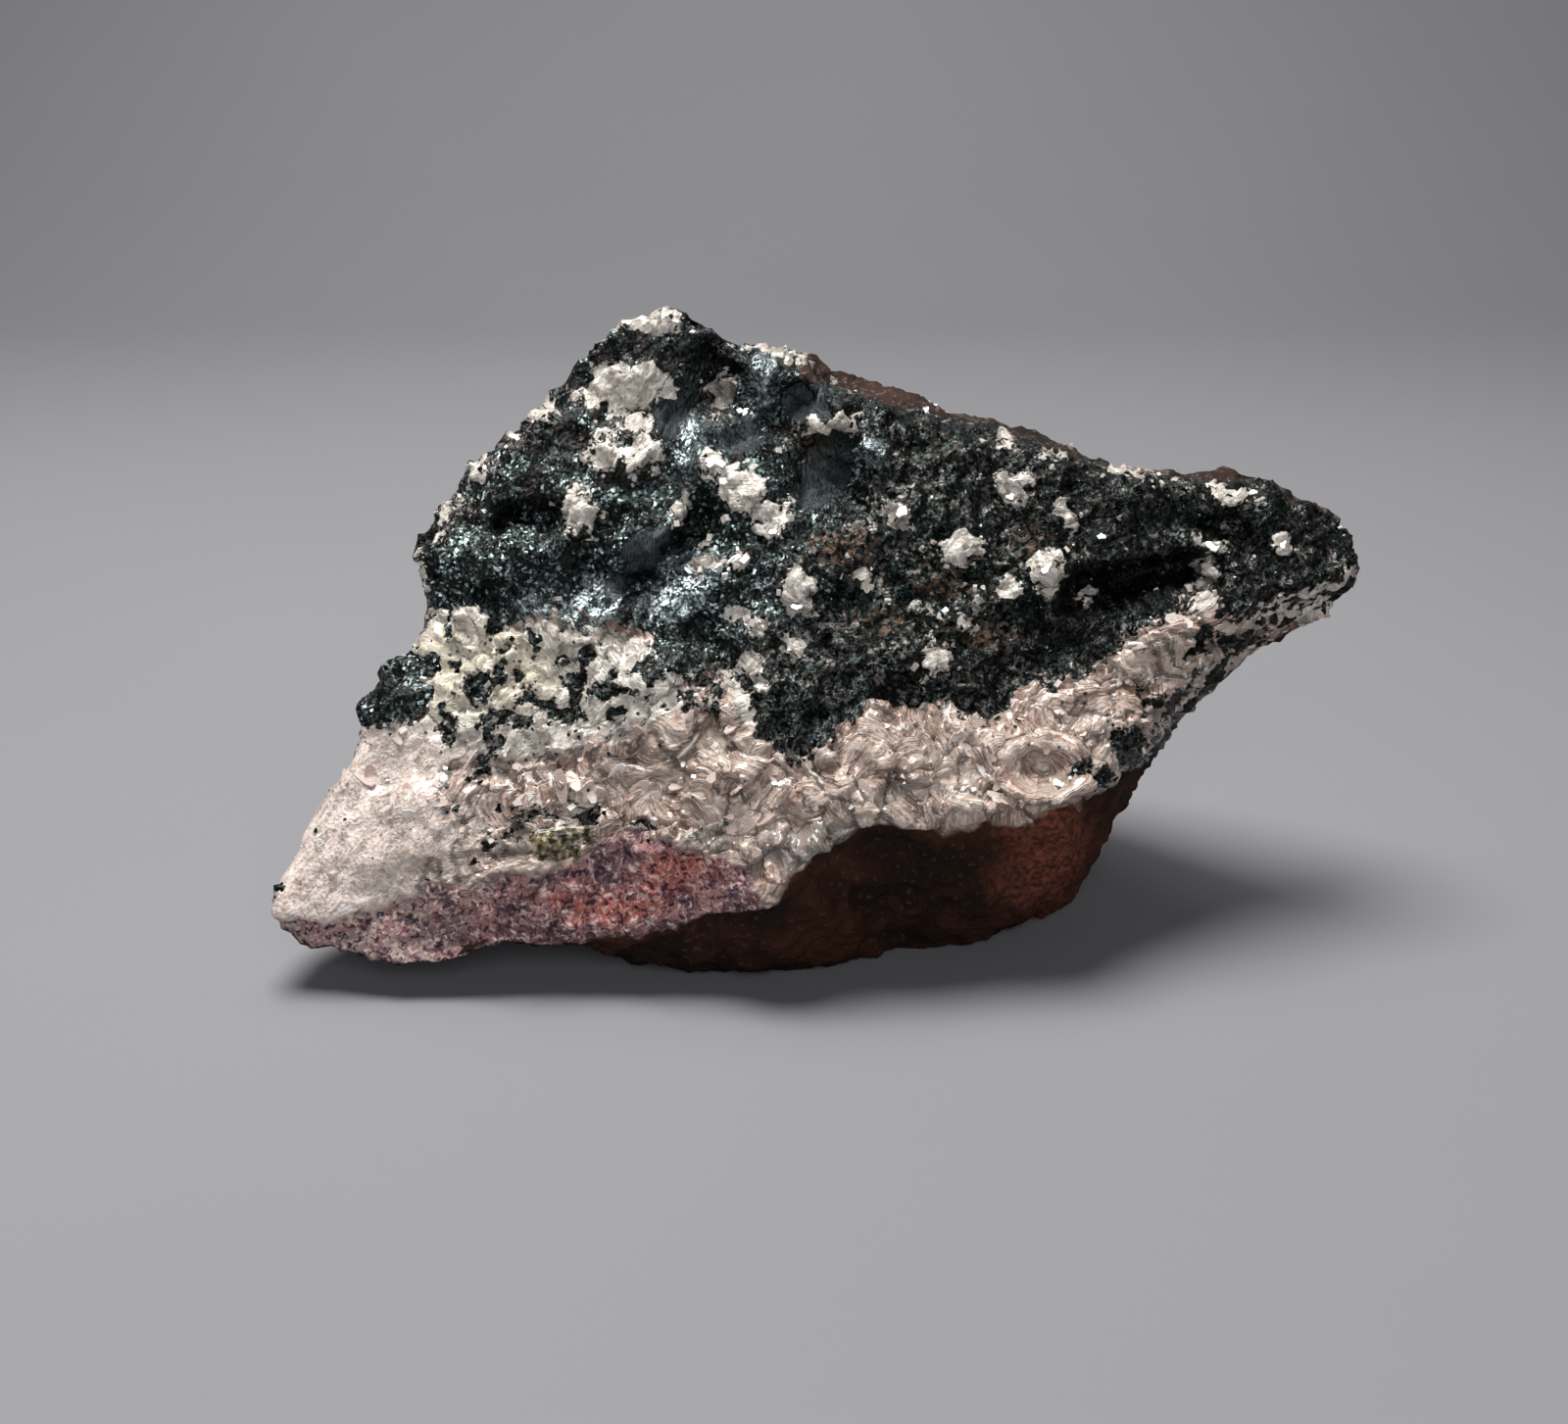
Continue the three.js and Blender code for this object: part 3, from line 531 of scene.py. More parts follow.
class Scatter:
    """Spots on the skin to set small crystals on, and the crystals set so far."""

    def __init__(self, skin, seed):
        self.points, self.faces, self.fields = skin
        self.rng = np.random.default_rng(seed)
        corners = self.points[self.faces]
        across = np.cross(corners[:, 1] - corners[:, 0], corners[:, 2] - corners[:, 0])
        self.areas = np.linalg.norm(across, axis=1) / 2
        self.normals = across / np.maximum(2 * self.areas, 1e-12)[:, None]
        self.middles = corners.mean(axis=1)
        self.corners = []
        self.made = []
        self.shades = []
        self.count = 0

    def at_faces(self, name):
        """A field's value at each face."""
        return self.fields[name][self.faces].mean(axis=1)

    def pick(self, weights, count):
        """Face numbers drawn by area and weight."""
        odds = self.areas * weights * (self.middles[:, 2] > 1.0)
        return self.rng.choice(len(odds), int(count * SHARE), p=odds / odds.sum())

    def put(self, shape, place, turn, scale, shade):
        """Set one crystal."""
        corners, faces = shape
        self.corners.append((corners * scale) @ turn.T + place)
        self.made += [[corner + self.count for corner in face] for face in faces]
        self.shades.append(np.full(len(corners), shade))
        self.count += len(corners)

    def piece(self, name, material):
        """All the crystals as one shown piece."""
        shades = {"shade": np.hstack(self.shades)}
        return mesh_object(name, np.vstack(self.corners), self.made, material, shades)


def facing(normal, toward, lean):
    """A turn whose third axis is the normal leaned towards a direction, and first axis lies along it."""
    third = normal * (1 - lean) + toward * lean
    third /= np.linalg.norm(third)
    first = toward - third * (toward @ third)
    first /= max(np.linalg.norm(first), 1e-9)
    return np.stack([first, np.cross(third, first), third], axis=1)


def any_turn(rng):
    """A turn to any side."""
    return np.array(Euler(rng.uniform(0, 2 * math.pi, 3)).to_matrix())


def calcite_plates(skin, material):
    """Leaves of calcite that lean out of the pale band in fans."""
    scatter = Scatter(skin, seed=3)
    rng = scatter.rng
    band = inside_distance(layout(scatter.middles), CALCITE_BAND)
    pale = blend(-0.2, 0.6, scatter.at_faces("calcite")) * (band > 1.0)
    for name, most in (("under", -2), ("crust", -2), ("red", -2), ("olive", -1.5)):
        pale *= scatter.at_faces(name) < most
    picked = scatter.pick(pale, PLATES)
    shapes = [plate(bend) for bend in (0.0, 0.8, 1.5, -0.8)]
    fans = cell_tilts(scatter.middles[picked], 6.0, 5)
    for number, fan in zip(picked, fans):
        toward = fan + 0.35 * rng.normal(size=3)
        turn = facing(scatter.normals[number], toward / np.linalg.norm(toward), rng.uniform(0.0, 0.2))
        long = rng.uniform(0.5, 1.0) + 1.1 * rng.uniform() ** 3
        scale = np.array([long, long * rng.uniform(0.25, 0.5), rng.uniform(0.1, 0.16)])
        place = scatter.middles[number] - scatter.normals[number] * rng.uniform(0.15, 0.3)
        scatter.put(shapes[rng.integers(len(shapes))], place, turn, scale, rng.uniform())
    return scatter.piece("calcite_plates", material)


def dark_grains(skin, material):
    """Angular grains that make the dark mass glitter, and a few that sit in the calcite."""
    scatter = Scatter(skin, seed=11)
    rng = scatter.rng
    calcite = scatter.at_faces("calcite")
    front = scatter.at_faces("crust") < 0
    above = scatter.at_faces("under") < 0
    bare = np.maximum(scatter.at_faces("silver"), scatter.at_faces("slate"))
    dark = blend(0.3, -0.3, calcite) * above * front * (scatter.at_faces("red") < 0)
    dark *= 1 - 0.93 * blend(-1.2, 0.2, bare)
    mixed = inside_distance(layout(scatter.middles), MIXED)
    edge = np.exp(-np.abs(calcite) / 1.5)
    for weights, count, least, most in (
        (dark, ORE_GRAINS, 0.08, 0.24),
        (blend(-1, 1, mixed) * front, MIXED_GRAINS, 0.12, 0.3),
        (edge * front * above, EDGE_GRAINS, 0.1, 0.32),
    ):
        for number in scatter.pick(weights, count):
            size = rng.uniform(least, most) * rng.uniform(0.6, 1, 3)
            sunk = size.min() * rng.uniform(0.3, 0.9)
            place = scatter.middles[number] - scatter.normals[number] * sunk
            shape = OCTAHEDRON if rng.uniform() < 0.6 else CUBE
            scatter.put(shape, place, any_turn(rng), size, rng.uniform())
    return scatter.piece("dark_grains", material)


def white_grains(skin, material):
    """Small cleavage blocks of calcite, thickest near the pale patches of the dark mass."""
    scatter = Scatter(skin, seed=23)
    rng = scatter.rng
    front = (scatter.at_faces("crust") < 1.2) * (scatter.at_faces("under") < -1)
    bare = np.maximum(scatter.at_faces("silver"), scatter.at_faces("slate"))
    near = np.exp(-np.abs(scatter.at_faces("calcite"))) + 0.05
    near *= front * (1 - 0.8 * blend(-1.5, 0, bare)) * (scatter.at_faces("side") < 0)
    for number in scatter.pick(near, CALCITE_BLOCKS):
        long = 0.4 * rng.uniform() ** 3
        size = 0.08 + long * np.array([1, rng.uniform(0.5, 1), rng.uniform(0.3, 0.8)])
        place = scatter.middles[number] - scatter.normals[number] * 0.05
        scatter.put(CUBE, place, any_turn(rng), size, rng.uniform())
    return scatter.piece("white_grains", material)


def cleavage_flakes(skin, material):
    """Single bright cleavages that face the light, each of a few plates."""
    scatter = Scatter(skin, seed=31)
    rng = scatter.rng
    spots = layout(scatter.middles)
    hidden = scatter.at_faces("crust") >= 0
    for a, b, size in BRIGHT_FLAKES:
        number = int(np.argmin(np.hypot(spots[:, 0] - a, spots[:, 1] - b) + 99 * hidden))
        to_eye = EYE - scatter.middles[number]
        to_eye /= np.linalg.norm(to_eye)
        for part in range(FLAKES_EACH):
            glint = to_eye + KEY_LIGHT_WAY + 0.10 * rng.normal(size=3)
            along = rng.normal(size=3)
            turn = facing(glint / np.linalg.norm(glint), along / np.linalg.norm(along), 0.0)
            place = scatter.middles[number] + scatter.normals[number] * (0.3 - 0.1 * part)
            place = place + turn @ np.array([*(size * rng.uniform(-0.45, 0.45, 2)), 0])
            half_sizes = size * np.array([*rng.uniform(0.18, 0.42, 2), 0.1])
            scatter.put(CUBE, place, turn, half_sizes, 1.0)
    return scatter.piece("cleavage_flakes", material)


# Materials

class Paint:
    """A material's nodes. A call adds nodes and gives their output. Its sizes are in millimetres."""

    def __init__(self, name):
        self.material = bpy.data.materials.new(name)
        self.material.use_nodes = True
        self.tree = self.material.node_tree
        self.shader = self.tree.nodes["Principled BSDF"]
        coordinates = self.tree.nodes.new("ShaderNodeTexCoord")
        self.place = self.vector("SCALE", coordinates.outputs["Object"], scale=1 / MM)

    def plug(self, socket, value):
        """Link an output to a socket, or set its value or colour."""
        if isinstance(value, bpy.types.NodeSocket):
            self.tree.links.new(value, socket)
        elif isinstance(value, tuple) and socket.type == "RGBA":
            socket.default_value = (*value, 1)
        else:
            socket.default_value = value

    def set(self, name, value):
        """Link or set an input of the shader."""
        self.plug(self.shader.inputs[name], value)

    def math(self, operation, first, second=0.0, clamp=False):
        node = self.tree.nodes.new("ShaderNodeMath")
        node.operation = operation
        node.use_clamp = clamp
        self.plug(node.inputs[0], first)
        self.plug(node.inputs[1], second)
        return node.outputs[0]

    def vector(self, operation, first, second=(0, 0, 0), scale=1.0):
        node = self.tree.nodes.new("ShaderNodeVectorMath")
        node.operation = operation
        self.plug(node.inputs[0], first)
        if operation == "SCALE":
            self.plug(node.inputs[3], scale)
        else:
            self.plug(node.inputs[1], second)
        return node.outputs[0]

    def field(self, name):
        """A field of the mesh."""
        node = self.tree.nodes.new("ShaderNodeAttribute")
        node.attribute_name = name
        return node.outputs["Fac"]

    def noise(self, size, detail=3.0, place=None, distortion=0.0):
        node = self.tree.nodes.new("ShaderNodeTexNoise")
        self.plug(node.inputs["Vector"], place or self.place)
        node.inputs["Scale"].default_value = 1 / size
        node.inputs["Detail"].default_value = detail
        node.inputs["Distortion"].default_value = distortion
        return node.outputs["Fac"]

    def cells(self, size, place=None):
        """A random colour for each cell of this size."""
        node = self.tree.nodes.new("ShaderNodeTexVoronoi")
        self.plug(node.inputs["Vector"], place or self.place)
        node.inputs["Scale"].default_value = 1 / size
        return node.outputs["Color"]

    def chance(self, size, weights=(0.34, 0.33, 0.33)):
        """A random number for each cell of this size."""
        return self.vector("DOT_PRODUCT", self.cells(size), weights).node.outputs["Value"]

    def mix(self, share, low, high):
        """A colour between two colours."""
        node = self.tree.nodes.new("ShaderNodeMix")
        node.data_type = "RGBA"
        self.plug(node.inputs["Factor"], share)
        self.plug(node.inputs[6], low)
        self.plug(node.inputs[7], high)
        return node.outputs[2]

    def fade(self, share, low, high):
        """A number between two numbers."""
        node = self.tree.nodes.new("ShaderNodeMix")
        self.plug(node.inputs["Factor"], share)
        self.plug(node.inputs[2], low)
        self.plug(node.inputs[3], high)
        return node.outputs[0]

    def steps_across(self, spacing):
        """Coordinates that change fast across the lamellae and slowly along them."""
        node = self.tree.nodes.new("ShaderNodeCombineXYZ")
        self.plug(node.inputs[0], self.math("MULTIPLY", self.field("across"), 1 / spacing))
        return self.vector("ADD", node.outputs[0], self.vector("SCALE", self.place, scale=0.4))

    def step(self, value, low, high):
        """0 below low, 1 above high."""
        node = self.tree.nodes.new("ShaderNodeMapRange")
        self.plug(node.inputs["Value"], value)
        node.inputs["From Min"].default_value = low
        node.inputs["From Max"].default_value = high
        return node.outputs[0]

    def blocky(self, name, reach, size, sharp=0.1):
        """Mask of a zone whose edge steps from grain to grain."""
        broken = self.math("ADD", self.chance(size), self.noise(2 * size))
        shift = self.math("MULTIPLY_ADD", broken, 2 * reach)
        shift.node.inputs[2].default_value = -2 * reach
        return self.step(self.math("ADD", self.field(name), shift), -sharp, sharp)

    def ragged(self, name, reach, size, sharp=0.2):
        """Mask of a zone whose edge is broken up by noise."""
        shift = self.math("MULTIPLY_ADD", self.noise(size), 2 * reach)
        shift.node.inputs[2].default_value = -reach
        return self.step(self.math("ADD", self.field(name), shift), -sharp, sharp)

    def surface_normal(self):
        """The normal of the mesh."""
        return self.tree.nodes.new("ShaderNodeNewGeometry").outputs["Normal"]

    def lean(self, tints, strength):
        """A step a random way in each cell, by its colour."""
        return self.vector("SCALE", self.vector("SUBTRACT", tints, (0.5, 0.5, 0.5)), scale=strength)

    def bump(self, height, depth, normal):
        """The normal with relief of this depth in millimetres."""
        node = self.tree.nodes.new("ShaderNodeBump")
        node.inputs["Distance"].default_value = depth * MM
        self.plug(node.inputs["Height"], height)
        self.plug(node.inputs["Normal"], normal)
        return node.outputs[0]


def dark_colour(paint):
    """Black selenide: teal glints, combed grey streaks, silvery faces, grey crumbs to the right."""
    chance = paint.chance(0.36, (0.6, 0.2, 0.2))
    glint = paint.mix(paint.step(chance, 0.45, 0.66), (0.018, 0.021, 0.021), (0.09, 0.125, 0.117))
    glint = paint.mix(paint.step(chance, 0.68, 0.76), glint, (0.42, 0.50, 0.50))
    shiny = paint.mix(paint.step(paint.noise(3.5, 4.0), 0.46, 0.62), glint, (0.018, 0.019, 0.019))
    streaks = paint.noise(1.0, 4.0, paint.steps_across(0.22))
    streaks = paint.mix(paint.step(streaks, 0.44, 0.62), (0.014, 0.013, 0.013), (0.16, 0.145, 0.14))
    mottle = paint.step(paint.noise(3.0, 4.0), 0.42, 0.6)
    combed = paint.math("MULTIPLY", mottle, paint.ragged("combed", 1.5, 3.0, 1.0))
    shiny = paint.mix(combed, shiny, streaks)
    silver = paint.mix(paint.step(chance, 0.40, 0.62), (0.10, 0.12, 0.125), (0.56, 0.65, 0.66))
    shiny = paint.mix(paint.ragged("silver", 1.6, 2.6, 0.8), shiny, silver)
    broad = paint.step(paint.noise(2.8, 4.0), 0.4, 0.65)
    matrix = paint.mix(broad, (0.042, 0.038, 0.034), (0.23, 0.215, 0.20))
    specks = paint.step(paint.noise(0.8, 4.0), 0.50, 0.56)
    dull = paint.mix(paint.step(chance, 0.5, 0.64), (0.006, 0.007, 0.007), (0.042, 0.055, 0.052))
    sprinkled = paint.math("MULTIPLY", specks, paint.step(paint.noise(4.5), 0.37, 0.52))
    crumbly = paint.mix(sprinkled, dull, matrix)
    return paint.mix(paint.ragged("shiny", 3.0, 4.0, 2.5), crumbly, shiny)


def calcite_colour(paint):
    """Pink-cream calcite, silky along its lamellae, with painted shade in its recesses and white in the
    ore; the lighter ridges and browner gaps of its streaks are partly its own colour and partly painted
    highlight and shade.
    Gives the colour, and the fibres or grains that also make its relief."""
    fine = paint.noise(1.0, 3.0, paint.steps_across(0.2))
    coarse = paint.noise(1.0, 3.0, paint.steps_across(0.42))
    grainy = paint.fade(paint.field("wing"), 0.2, 0.5)
    fibres = paint.fade(grainy, paint.fade(0.4, fine, coarse), paint.noise(0.45, 2.0))
    # The fibres' ridges are painted pale and their gaps pink-brown: partly the calcite's own streaks,
    # partly painted highlight and painted shade along the ribs that the bump also raises
    pink = paint.mix(paint.step(fibres, 0.42, 0.52), (0.27, 0.16, 0.12), (0.56, 0.43, 0.365))
    pale = paint.mix(paint.step(fibres, 0.53, 0.62), pink, (0.80, 0.72, 0.66))
    cream = paint.step(paint.noise(6.0), 0.45, 0.6)
    pale = paint.mix(paint.math("MULTIPLY", cream, 0.5), pale, (0.62, 0.53, 0.45))
    # Painted shade: the recesses of the calcite relief are painted dark brown
    painted_recess_shade = paint.step(paint.field("lift"), 0.1, -0.9)
    pale = paint.mix(paint.math("MULTIPLY", painted_recess_shade, 0.6), pale, (0.20, 0.12, 0.09))
    # On the wing the fibres' ridges are likewise painted lighter: partly its own streaks, partly painted
    # highlight
    whitish = paint.mix(paint.step(fibres, 0.40, 0.58), (0.52, 0.405, 0.355), (0.77, 0.69, 0.64))
    pale = paint.mix(paint.math("MULTIPLY", paint.field("wing"), 0.85), pale, whitish)
    grains = paint.fade(0.5, paint.noise(1.1, 3.0, distortion=0.8), fibres)
    white = paint.mix(paint.step(grains, 0.40, 0.56), (0.40, 0.35, 0.30), (0.80, 0.74, 0.66))
    greyer = paint.math("MULTIPLY", paint.step(paint.chance(2.0), 0.55, 0.35), 0.3)
    white = paint.mix(greyer, white, (0.40, 0.36, 0.33))
    pale = paint.mix(paint.field("massive"), pale, white)
    grey = paint.math("MULTIPLY", paint.ragged("grey", 0.8, 1.6, 0.5), 0.75)
    colour = paint.mix(grey, pale, (0.22, 0.195, 0.175))
    return colour, paint.fade(paint.field("massive"), fibres, grains)


def red_colour(paint):
    """Brick red and purple-brown granular rock with pale grains."""
    broad = paint.step(paint.noise(3.0, 4.0), 0.45, 0.58)
    base = paint.mix(broad, (0.14, 0.08, 0.09), (0.32, 0.165, 0.155))
    base = paint.mix(paint.ragged("brick", 2.6, 2.0, 1.0), base, (0.38, 0.125, 0.10))
    dusty = paint.math("MULTIPLY", paint.field("wing"), paint.step(paint.noise(2.0, 4.0), 0.40, 0.56))
    base = paint.mix(paint.math("MULTIPLY", dusty, 0.8), base, (0.34, 0.26, 0.23))
    grains = paint.noise(0.75, 4.0, distortion=1.0)
    base = paint.mix(paint.step(grains, 0.54, 0.64), base, (0.52, 0.40, 0.38))
    return paint.mix(paint.step(grains, 0.46, 0.38), base, (0.045, 0.025, 0.04))


def brown_colour(paint):
    """Dark weathered rock with rust."""
    broad = paint.step(paint.noise(9.0, 4.0), 0.45, 0.6)
    base = paint.mix(broad, (0.014, 0.007, 0.005), (0.042, 0.016, 0.009))
    rust = paint.step(paint.noise(0.7, 4.0), 0.38, 0.62)
    rusty = paint.mix(rust, (0.050, 0.018, 0.012), (0.19, 0.056, 0.034))
    base = paint.mix(paint.ragged("brick", 4.0, 3.0, 3.0), base, rusty)
    grain = paint.step(paint.noise(0.8), 0.60, 0.68)
    return paint.mix(paint.math("MULTIPLY", grain, 0.4), base, (0.10, 0.055, 0.04))


def crust_colour(paint):
    """Nearly black weathered top and back, with grey and rusty grains."""
    broad = paint.step(paint.noise(6.0, 4.0), 0.42, 0.6)
    base = paint.mix(broad, (0.014, 0.010, 0.009), (0.044, 0.024, 0.018))
    grain = paint.step(paint.noise(0.8, 4.0), 0.56, 0.64)
    return paint.mix(paint.math("MULTIPLY", grain, 0.6), base, (0.13, 0.11, 0.10))


def olive_colour(paint):
    """Dark, olive and pale flecks of the small pocket."""
    flecks = paint.noise(0.9, 4.0)
    speckled = paint.mix(paint.step(flecks, 0.41, 0.47), (0.03, 0.026, 0.016), (0.21, 0.165, 0.08))
    return paint.mix(paint.step(flecks, 0.53, 0.58), speckled, (0.50, 0.45, 0.36))


def rock_material():
    """All the minerals of the skin, with painted shadow in the hollows, laid out by the mesh's fields."""
    paint = Paint("rock_skin")
    calcite = paint.blocky("calcite", 0.8, 0.7)
    red = paint.ragged("red", 1.9, 1.8, 0.5)
    under = paint.ragged("under", 0.6, 2.0, 0.3)
    crust = paint.ragged("crust", 0.8, 2.4, 0.3)
    olive = paint.ragged("olive", 0.9, 1.4)
    rust = paint.math("MULTIPLY", paint.step(paint.noise(0.8, 4.0), 0.46, 0.56), 0.8)
    stain = paint.math("MULTIPLY", paint.ragged("stain", 2.0, 1.8, 1.0), rust)
    slate = paint.ragged("slate", 1.7, 2.6, 0.15)
    silver = paint.ragged("silver", 1.6, 2.6, 0.8)
    yellow = paint.math("MULTIPLY", paint.ragged("yellow", 1.2, 2.0, 1.0), 0.5)
    # Painted shadow: mask of the hollows and clefts that are painted near-black
    black = paint.math("MULTIPLY", paint.ragged("black", 1.1, 2.2, 0.9), 0.8)
    side = paint.math("MULTIPLY", paint.ragged("side", 0.8, 2.0, 0.5), 0.75)
    striae = paint.noise(0.6, 3.0, paint.vector("MULTIPLY", paint.place, (3.0, 3.0, 0.4)))

    pale, fibres = calcite_colour(paint)
    pale = paint.mix(yellow, pale, (0.68, 0.60, 0.44))
    sheen = paint.mix(paint.step(striae, 0.4, 0.62), (0.016, 0.020, 0.021), (0.070, 0.082, 0.088))
    dark = paint.mix(slate, dark_colour(paint), sheen)
    # Painted shadow in the hollows: near-black over the dark mass
    dark = paint.mix(black, dark, (0.006, 0.006, 0.007))
    dark = paint.mix(stain, dark, (0.13, 0.075, 0.045))
    dark = paint.mix(side, dark, (0.016, 0.011, 0.009))
    colour = paint.mix(calcite, dark, pale)
    colour = paint.mix(olive, colour, olive_colour(paint))
    colour = paint.mix(red, colour, red_colour(paint))
    colour = paint.mix(crust, colour, crust_colour(paint))
    colour = paint.mix(under, colour, brown_colour(paint))
    paint.set("Base Color", colour)

    earthy = paint.math("MAXIMUM", paint.math("MAXIMUM", under, crust), red)
    dull = paint.math("MAXIMUM", paint.math("MAXIMUM", calcite, earthy), olive)
    ore = paint.math("SUBTRACT", 1.0, dull, clamp=True)
    stony = paint.math("MAXIMUM", stain, paint.math("MULTIPLY", slate, 0.55))
    paint.set("Metallic", paint.math("MULTIPLY", ore, paint.math("SUBTRACT", 0.85, stony)))
    silky = paint.fade(paint.noise(1.4, 2.0), 0.15, 0.75)
    pearly = paint.math("MULTIPLY", calcite, paint.fade(earthy, 1.0, 0.0))
    gloss = paint.fade(calcite, paint.fade(slate, 0.34, 0.45), silky)
    paint.set("Roughness", paint.fade(earthy, gloss, 0.9))
    paint.shader.inputs["Specular IOR Level"].default_value = 0.12
    paint.set("Coat Weight", paint.math("MULTIPLY", pearly, 0.8))
    paint.shader.inputs["Coat Roughness"].default_value = 0.2

    slant = paint.fade(slate, paint.fade(silver, 0.6, 0.5), 0.08)
    grains = paint.lean(paint.cells(0.36), paint.math("MULTIPLY", ore, slant))
    scales = paint.cells(1.0, paint.steps_across(1.2))
    leaves = paint.lean(scales, paint.math("MULTIPLY", pearly, 0.5))
    tilts = paint.vector("ADD", grains, leaves)
    tilted = paint.vector("NORMALIZE", paint.vector("ADD", paint.surface_normal(), tilts))
    fine = paint.math("ADD", paint.noise(0.5), paint.noise(1.6))
    ribbed = paint.math("MULTIPLY", fibres, paint.fade(paint.field("wing"), 3.4, 1.8))
    fine = paint.fade(pearly, fine, ribbed)
    fine = paint.fade(slate, fine, paint.math("MULTIPLY", striae, 0.35))
    paint.set("Normal", paint.bump(fine, 0.35, tilted))
    return paint.material


def plate_material():
    """Loose-standing calcite leaves, pearly, pink to cream."""
    paint = Paint("calcite_leaf")
    shade = paint.field("shade")
    base = paint.mix(paint.step(shade, 0.1, 0.6), (0.50, 0.36, 0.31), (0.66, 0.54, 0.48))
    base = paint.mix(paint.step(shade, 0.7, 0.95), base, (0.78, 0.72, 0.68))
    mottled = paint.step(paint.noise(1.5, 4.0), 0.45, 0.65)
    paint.set("Base Color", paint.mix(paint.math("MULTIPLY", mottled, 0.35), base, (0.42, 0.29, 0.24)))
    paint.set("Roughness", paint.fade(paint.noise(2.0), 0.25, 0.5))
    paint.shader.inputs["Subsurface Weight"].default_value = 0.12
    paint.shader.inputs["Subsurface Radius"].default_value = (0.0012, 0.0009, 0.0007)
    paint.shader.inputs["Subsurface Scale"].default_value = 1.0
    striae = paint.noise(1.0, 3.0, paint.vector("MULTIPLY", paint.place, (1.2, 5.0, 5.0)))
    paint.set("Normal", paint.bump(striae, 0.12, paint.surface_normal()))
    return paint.material


def grain_material():
    """Faceted selenide grains."""
    paint = Paint("selenide_grain")
    shade = paint.field("shade")
    base = paint.mix(paint.step(shade, 0.2, 0.8), (0.014, 0.017, 0.017), (0.065, 0.09, 0.085))
    base = paint.mix(paint.step(shade, 0.88, 0.95), base, (0.24, 0.29, 0.29))
    dull = paint.step(paint.noise(4.0), 0.56, 0.66)
    paint.set("Base Color", paint.mix(dull, base, (0.03, 0.03, 0.028)))
    paint.set("Metallic", 0.85)
    paint.set("Roughness", paint.fade(paint.noise(0.7), 0.22, 0.42))
    return paint.material


def white_material():
    """White calcite blocks with grey and cream ones among them."""
    paint = Paint("white_calcite")
    shade = paint.field("shade")
    base = paint.mix(paint.step(shade, 0.2, 0.7), (0.30, 0.275, 0.25), (0.70, 0.66, 0.61))
    cream = paint.step(paint.noise(0.8), 0.5, 0.7)
    paint.set("Base Color", paint.mix(cream, base, (0.6, 0.5, 0.42)))
    paint.set("Roughness", paint.fade(paint.noise(0.6), 0.25, 0.5))
    return paint.material


def flake_material():
    """Mirror-bright pearly cleavage."""
    paint = Paint("bright_cleavage")
    paint.set("Base Color", paint.mix(paint.noise(0.7, 4.0), (0.88, 0.88, 0.88), (0.78, 0.77, 0.76)))
    paint.set("Roughness", paint.fade(paint.noise(1.0), 0.16, 0.3))
    paint.shader.inputs["Specular IOR Level"].default_value = 0.9
    return paint.material


# Stage, lights and camera

KEY_LIGHT_PLACE = np.array([-110.0, 50.0, 690.0])
KEY_LIGHT_WAY = KEY_LIGHT_PLACE / np.linalg.norm(KEY_LIGHT_PLACE)
FLOOR_GREY = (0.205, 0.205, 0.217)
FLOOR_HALF_WIDTH = 1500
FLOOR_FRONT = -900
FLOOR_BACK = 500
SWEEP_RADIUS = 300
SWEEP_STEPS = 12
SWEEP_TOP = 1500
WORLD_COLOUR = (0.75, 0.78, 0.82, 1)
WORLD_STRENGTH = 0.08
SENSOR_WIDTH = 36
FOCAL_LENGTH = 44.9


def stage_sweep():
    """A plain floor that curves up into a plain background."""
    paint = Paint("studio_grey")
    tone = paint.step(paint.noise(180.0), 0.3, 0.7)
    paint.set("Base Color", paint.mix(tone, FLOOR_GREY, tuple(0.96 * c for c in FLOOR_GREY)))
    paint.set("Roughness", 0.8)
    profile = [(FLOOR_FRONT, 0), (FLOOR_BACK, 0)]
    for step in range(1, SWEEP_STEPS + 1):
        angle = math.radians(90 * step / SWEEP_STEPS)
        rise = SWEEP_RADIUS * (1 - math.cos(angle))
        profile.append((FLOOR_BACK + SWEEP_RADIUS * math.sin(angle), rise))
    profile.append((FLOOR_BACK + SWEEP_RADIUS, SWEEP_TOP))
    points = [(x, y, z) for y, z in profile for x in (-FLOOR_HALF_WIDTH, FLOOR_HALF_WIDTH)]
    faces = [(2 * i, 2 * i + 1, 2 * i + 3, 2 * i + 2) for i in range(len(profile) - 1)]
    sweep = mesh_object("sweep", points, faces, paint.material, smooth=True)


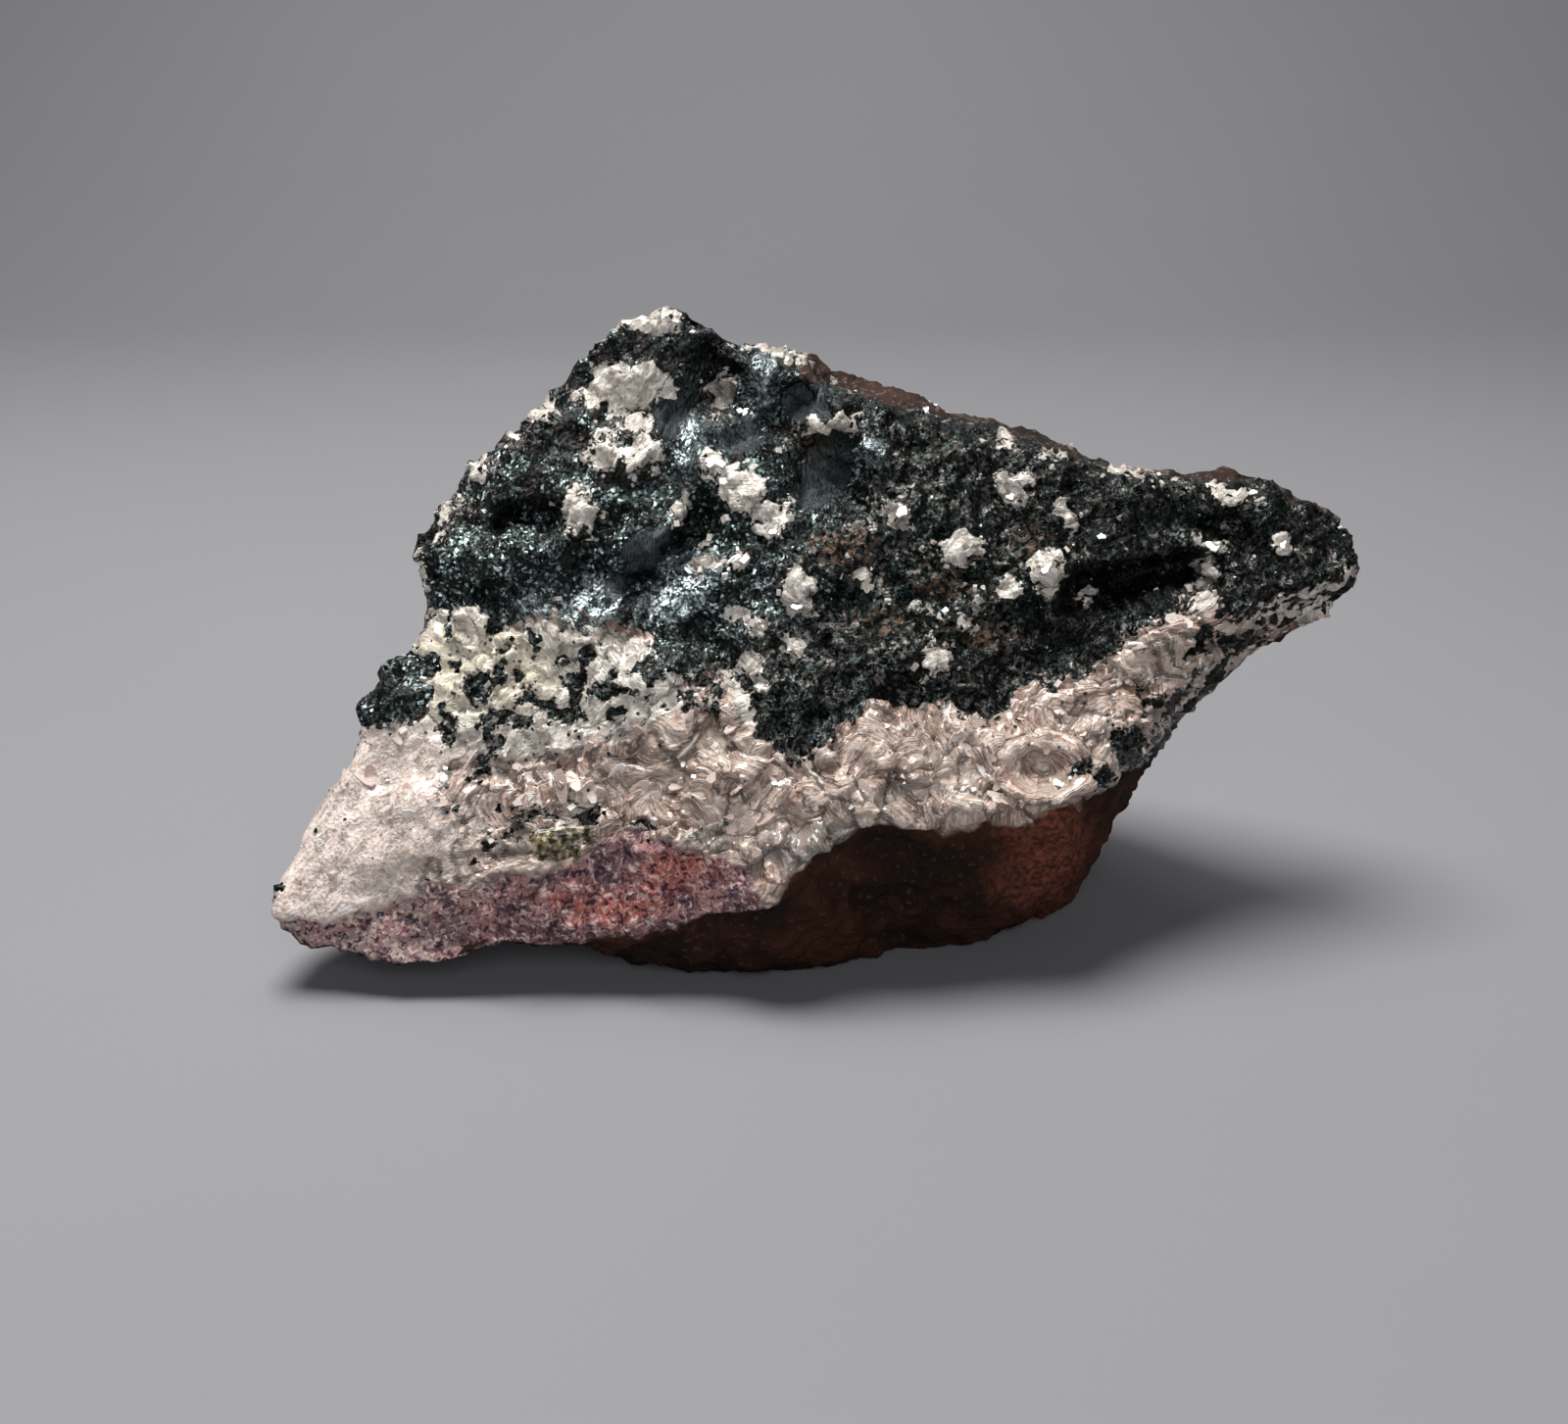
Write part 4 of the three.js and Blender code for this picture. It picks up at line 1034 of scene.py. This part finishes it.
def area_light(name, place, size, watts, colour, aim=(0, 0, 0)):
    """A round soft light of this size that points at its aim."""
    light = bpy.data.lights.new(name, "AREA")
    light.shape = "DISK"
    light.size = size * MM
    light.energy = watts
    light.color = colour
    lamp = bpy.data.objects.new(name, light)
    lamp.location = Vector(place) * MM
    lamp.rotation_euler = (Vector(aim) - Vector(place)).to_track_quat("-Z", "Y").to_euler()
    bpy.context.scene.collection.objects.link(lamp)


def lights():
    """A soft key from above, a weak fill from the front, a back light and a dim even world."""
    area_light("key", KEY_LIGHT_PLACE, size=380, watts=8.0, colour=(1.0, 0.99, 0.97))
    area_light("fill", (60, -620, 330), size=400, watts=1.8, colour=(0.96, 0.98, 1.0))
    area_light("back", (0, 420, 800), size=500, watts=2.6, colour=(1.0, 1.0, 1.0), aim=(0, 800, 350))
    world = bpy.data.worlds.new("studio")
    world.use_nodes = True
    background = world.node_tree.nodes["Background"]
    background.inputs["Color"].default_value = WORLD_COLOUR
    background.inputs["Strength"].default_value = WORLD_STRENGTH
    bpy.context.scene.world = world


def camera():
    """The camera at EYE, tilted down as the layout plane is."""
    lens = bpy.data.cameras.new("camera")
    lens.sensor_width = SENSOR_WIDTH
    lens.lens = FOCAL_LENGTH
    lens.clip_start = 0.01
    holder = bpy.data.objects.new("camera", lens)
    holder.location = Vector(EYE) * MM
    holder.rotation_euler = (math.pi / 2 - LAYOUT_TILT, 0, 0)
    bpy.context.scene.collection.objects.link(holder)
    bpy.context.scene.camera = holder


def specimen():
    """The dressed rock: the skin in place of the CAD solid, and the crystals on it."""
    skin = skin_surface()
    points, faces, fields = skin
    rock = mesh_object("rock", points, faces, rock_material(), fields, smooth=True)
    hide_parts("specimen")
    pieces = [
        rock,
        calcite_plates(skin, plate_material()),
        dark_grains(skin, grain_material()),
        white_grains(skin, white_material()),
        cleavage_flakes(skin, flake_material()),
    ]
    for piece in pieces:
        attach(piece, "root")


specimen()
stage_sweep()
lights()
camera()
bpy.context.scene.view_settings.view_transform = "Standard"
bpy.context.view_layer.update()
